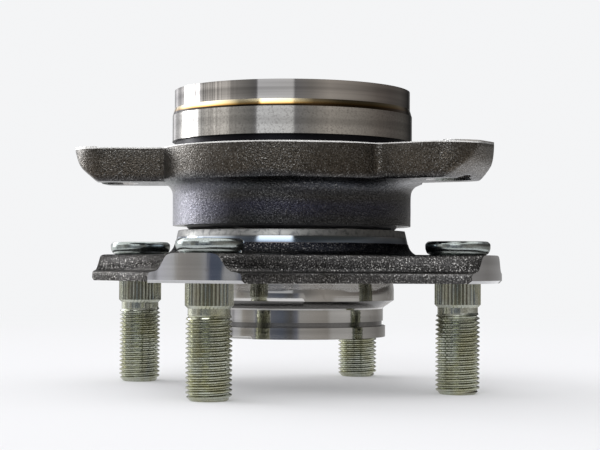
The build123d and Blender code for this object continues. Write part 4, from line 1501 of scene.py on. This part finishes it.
@dataclass
class Studio:
    """Pale floor, soft light and the camera.

    Attributes:
        floor_z: level of the floor.
        table_r: radius of the table that the steel mirrors.
        paper_r: radius of the paper round it.
        camera_place: where the camera stands.
        pitch: how far it looks up, in degrees.
        roll: how far it is tilted, in degrees.
        lens: its focal length.
        sensor: its sensor's width.
        lamp_place: where the lamp hangs, in metres.
        lamp_size: its diameter in metres.
        lamp_power: its power in watts.
        room_strength: strength of the background, by which the stops are divided.
        ceiling: the ceiling.
        high: colours round the room above the walls, from behind by the left.
        below: colours just above the floor.
        room: the walls between the two.
    """

    floor_z: float = -30.0
    table_r: float = 220.0
    paper_r: float = 8000.0
    camera_place: tuple[float, float, float] = (2.398, -430.154, 4.29)
    pitch: float = 1.6
    roll: float = 0.329
    lens: float = 90.0
    sensor: float = 36.0
    lamp_place: tuple[float, float, float] = (-0.12, -0.05, 1.25)
    lamp_size: float = 2.6
    lamp_power: float = 11.4
    room_strength: float = 10.0
    ceiling: Tone = (0.7, 0.7, 0.71)
    high: Stops = (
        (0.0, 0.3), (0.08, (2.6, 2.6, 2.65)), (0.235, (2.6, 2.6, 2.65)), (0.26, (2.0, 2.0, 2.05)),
        (0.31, 1.0), (0.34, (0.22, 0.22, 0.23)), (0.4, (0.12, 0.12, 0.13)), (0.409, (2.9, 2.95, 3.0)),
        (0.5, (2.9, 2.95, 3.0)), (0.507, 0.07), (0.65, (0.075, 0.075, 0.07)), (0.75, 0.08), (1.0, 0.3),
    )
    below: Stops = (
        (0.0, 0.5), (0.14, 1.2), (0.2, 1.2), (0.23, 0.5), (0.268, (0.56, 0.56, 0.57)),
        (0.284, (0.5, 0.5, 0.52)), (0.291, (0.3, 0.3, 0.31)), (0.298, (0.66, 0.66, 0.7)), (0.322, 0.6),
        (0.33, (0.4, 0.38, 0.35)), (0.345, (0.34, 0.32, 0.3)), (0.366, (0.34, 0.33, 0.31)),
        (0.376, (0.4, 0.4, 0.41)), (0.3815, (0.1, 0.115, 0.16)), (0.399, (0.1, 0.12, 0.16)),
        (0.403, 0.4), (0.42, 0.38), (0.426, (0.15, 0.16, 0.19)), (0.47, (0.11, 0.125, 0.16)),
        (0.5, 0.1), (0.52, (0.17, 0.18, 0.22)), (0.53, (0.4, 0.39, 0.38)), (0.58, (0.38, 0.36, 0.34)),
        (0.625, (0.34, 0.32, 0.3)), (0.64, (0.48, 0.47, 0.46)), (0.7, (0.52, 0.51, 0.5)),
        (0.75, (0.42, 0.41, 0.4)), (0.86, (0.25, 0.24, 0.23)), (1.0, 0.4),
    )
    room: Stops = (
        (0.0, 0.25), (0.035, (0.9, 0.9, 0.92)), (0.055, (0.25, 0.25, 0.26)), (0.075, (1.2, 1.2, 1.25)),
        (0.1, (0.5, 0.5, 0.52)), (0.14, (0.9, 0.9, 0.93)), (0.155, 8.5), (0.19, 8.5), (0.198, 0.6),
        (0.205, (2.6, 2.6, 2.7)), (0.221, (2.6, 2.6, 2.7)), (0.227, 0.55), (0.25, (0.5, 0.49, 0.48)),
        (0.285, (0.68, 0.66, 0.64)), (0.325, (0.68, 0.66, 0.64)), (0.332, (0.36, 0.35, 0.34)),
        (0.395, 0.18), (0.406, (0.17, 0.17, 0.18)), (0.41, (0.7, 0.72, 0.76)),
        (0.503, (0.66, 0.67, 0.69)), (0.507, (0.21, 0.21, 0.22)), (0.55, (0.24, 0.23, 0.22)),
        (0.6, (0.37, 0.345, 0.32)), (0.66, (0.29, 0.27, 0.25)), (0.75, (0.14, 0.125, 0.115)),
        (0.8, (0.1, 0.09, 0.085)), (0.86, (0.09, 0.085, 0.08)), (0.93, 0.02), (1.0, 0.2),
    )

    def build(self) -> None:
        """Builds the floor, the room's light and the camera."""
        self.floor()
        self.light()
        self.world()
        self.camera()

    def floor(self) -> None:
        """A pale table under the studs, and a paper floor round it that fades into the room."""
        rings = (("studio_table", 0.0, self.table_r), ("studio_paper", self.table_r, self.paper_r))
        for name, inner, outer in rings:
            bm = spun([(inner, self.floor_z), (outer, self.floor_z)], 96)
            for face in bm.faces:
                if face.normal.z < 0:
                    face.normal_flip()
            ground = as_object(name, bm, [FLOOR_PALE])
            ground.visible_glossy = inner == 0.0

    def light(self) -> None:
        """One large soft lamp overhead."""
        data = bpy.data.lights.new("overhead_soft", "AREA")
        data.shape = "DISK"
        data.size = self.lamp_size
        data.energy = self.lamp_power
        lamp = bpy.data.objects.new("overhead_soft", data)
        lamp.location = self.lamp_place
        lamp.rotation_euler = Vector(self.lamp_place).to_track_quat("Z", "Y").to_euler()
        bpy.context.scene.collection.objects.link(lamp)

    def dimmed(self, tone: Tone) -> tuple[float, ...]:
        """Returns a tone divided by the background's strength."""
        return tuple(part / self.room_strength for part in rgba(tone)[:3])

    def world(self) -> None:
        """A pale room whose walls the steel mirrors: bright panels at the left, dim at the right."""
        world = bpy.data.worlds.new("studio_room")
        bpy.context.scene.world = world
        bpy.context.scene.view_settings.view_transform = "Standard"
        world.use_nodes = True
        world.node_tree.nodes.clear()
        sheet = NodeSheet(world.node_tree)
        x, y, z = sheet.axes(sheet.add("TexCoord").outputs["Generated"])
        share = sheet.scaled(sheet.maths("ARCTAN2", x, sheet.times(y, -1.0)), 1 / FULL_TURN, 0.5)
        room, below, high = (
            sheet.ramp(share, [(at, self.dimmed(tone)) for at, tone in stops])
            for stops in (self.room, self.below, self.high)
        )
        stripes = sheet.add("TexNoise", {"noise_dimensions": "1D"}, W=share, Scale=150.0, Detail=2.0)
        light = sheet.ranged(stripes.outputs["Fac"], 0.35, 0.65, 0.6, 1.35)
        striped = sheet.tint(room, sheet.blend(sheet.ranged(share, 0.36, 0.28), 1.0, light))
        sides = sheet.blend(sheet.ranged(z, 0.018, 0.034), below, striped)
        tall = sheet.blend(sheet.ranged(z, 0.24, 0.32), sides, high)
        whole = sheet.blend(sheet.ranged(z, 0.6, 0.66), tall, self.dimmed(self.ceiling))
        seen = sheet.add("LightPath").outputs["Is Camera Ray"]
        shown = sheet.blend(seen, whole, self.dimmed(ROOM_SEEN))
        background = sheet.add("Background", Color=shown, Strength=self.room_strength)
        sheet.add("OutputWorld", Surface=background.outputs[0])

    def camera(self) -> None:
        """The camera, low in front and slightly tilted up."""
        data = bpy.data.cameras.new("studio_camera")
        data.lens = self.lens
        data.sensor_width = self.sensor
        data.clip_start = 0.01
        data.clip_end = 50.0
        camera = bpy.data.objects.new("studio_camera", data)
        turn = Matrix.Rotation(math.radians(90 + self.pitch), 4, "X")
        tilt = Matrix.Rotation(math.radians(self.roll), 4, "Z")
        camera.matrix_world = Matrix.Translation(Vector(self.camera_place) * MM) @ turn @ tilt
        bpy.context.scene.collection.objects.link(camera)
        bpy.context.scene.camera = camera


def main() -> None:
    """Builds every sub-assembly round the frame."""
    logging.basicConfig(level=logging.INFO, format="%(name)s: %(message)s")
    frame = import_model()
    nodes = frame["nodes"]
    Studio().build()
    OuterRing().build(nodes)
    hub = Hub()
    hub.build(nodes)
    for number, angle in enumerate(hub.stud_angles, start=1):
        WheelStud(number, angle).build()
    SealsAndInnerRing().build()
    RollingElements().build(nodes)
    bpy.context.view_layer.update()


if __name__ == "__main__":
    main()
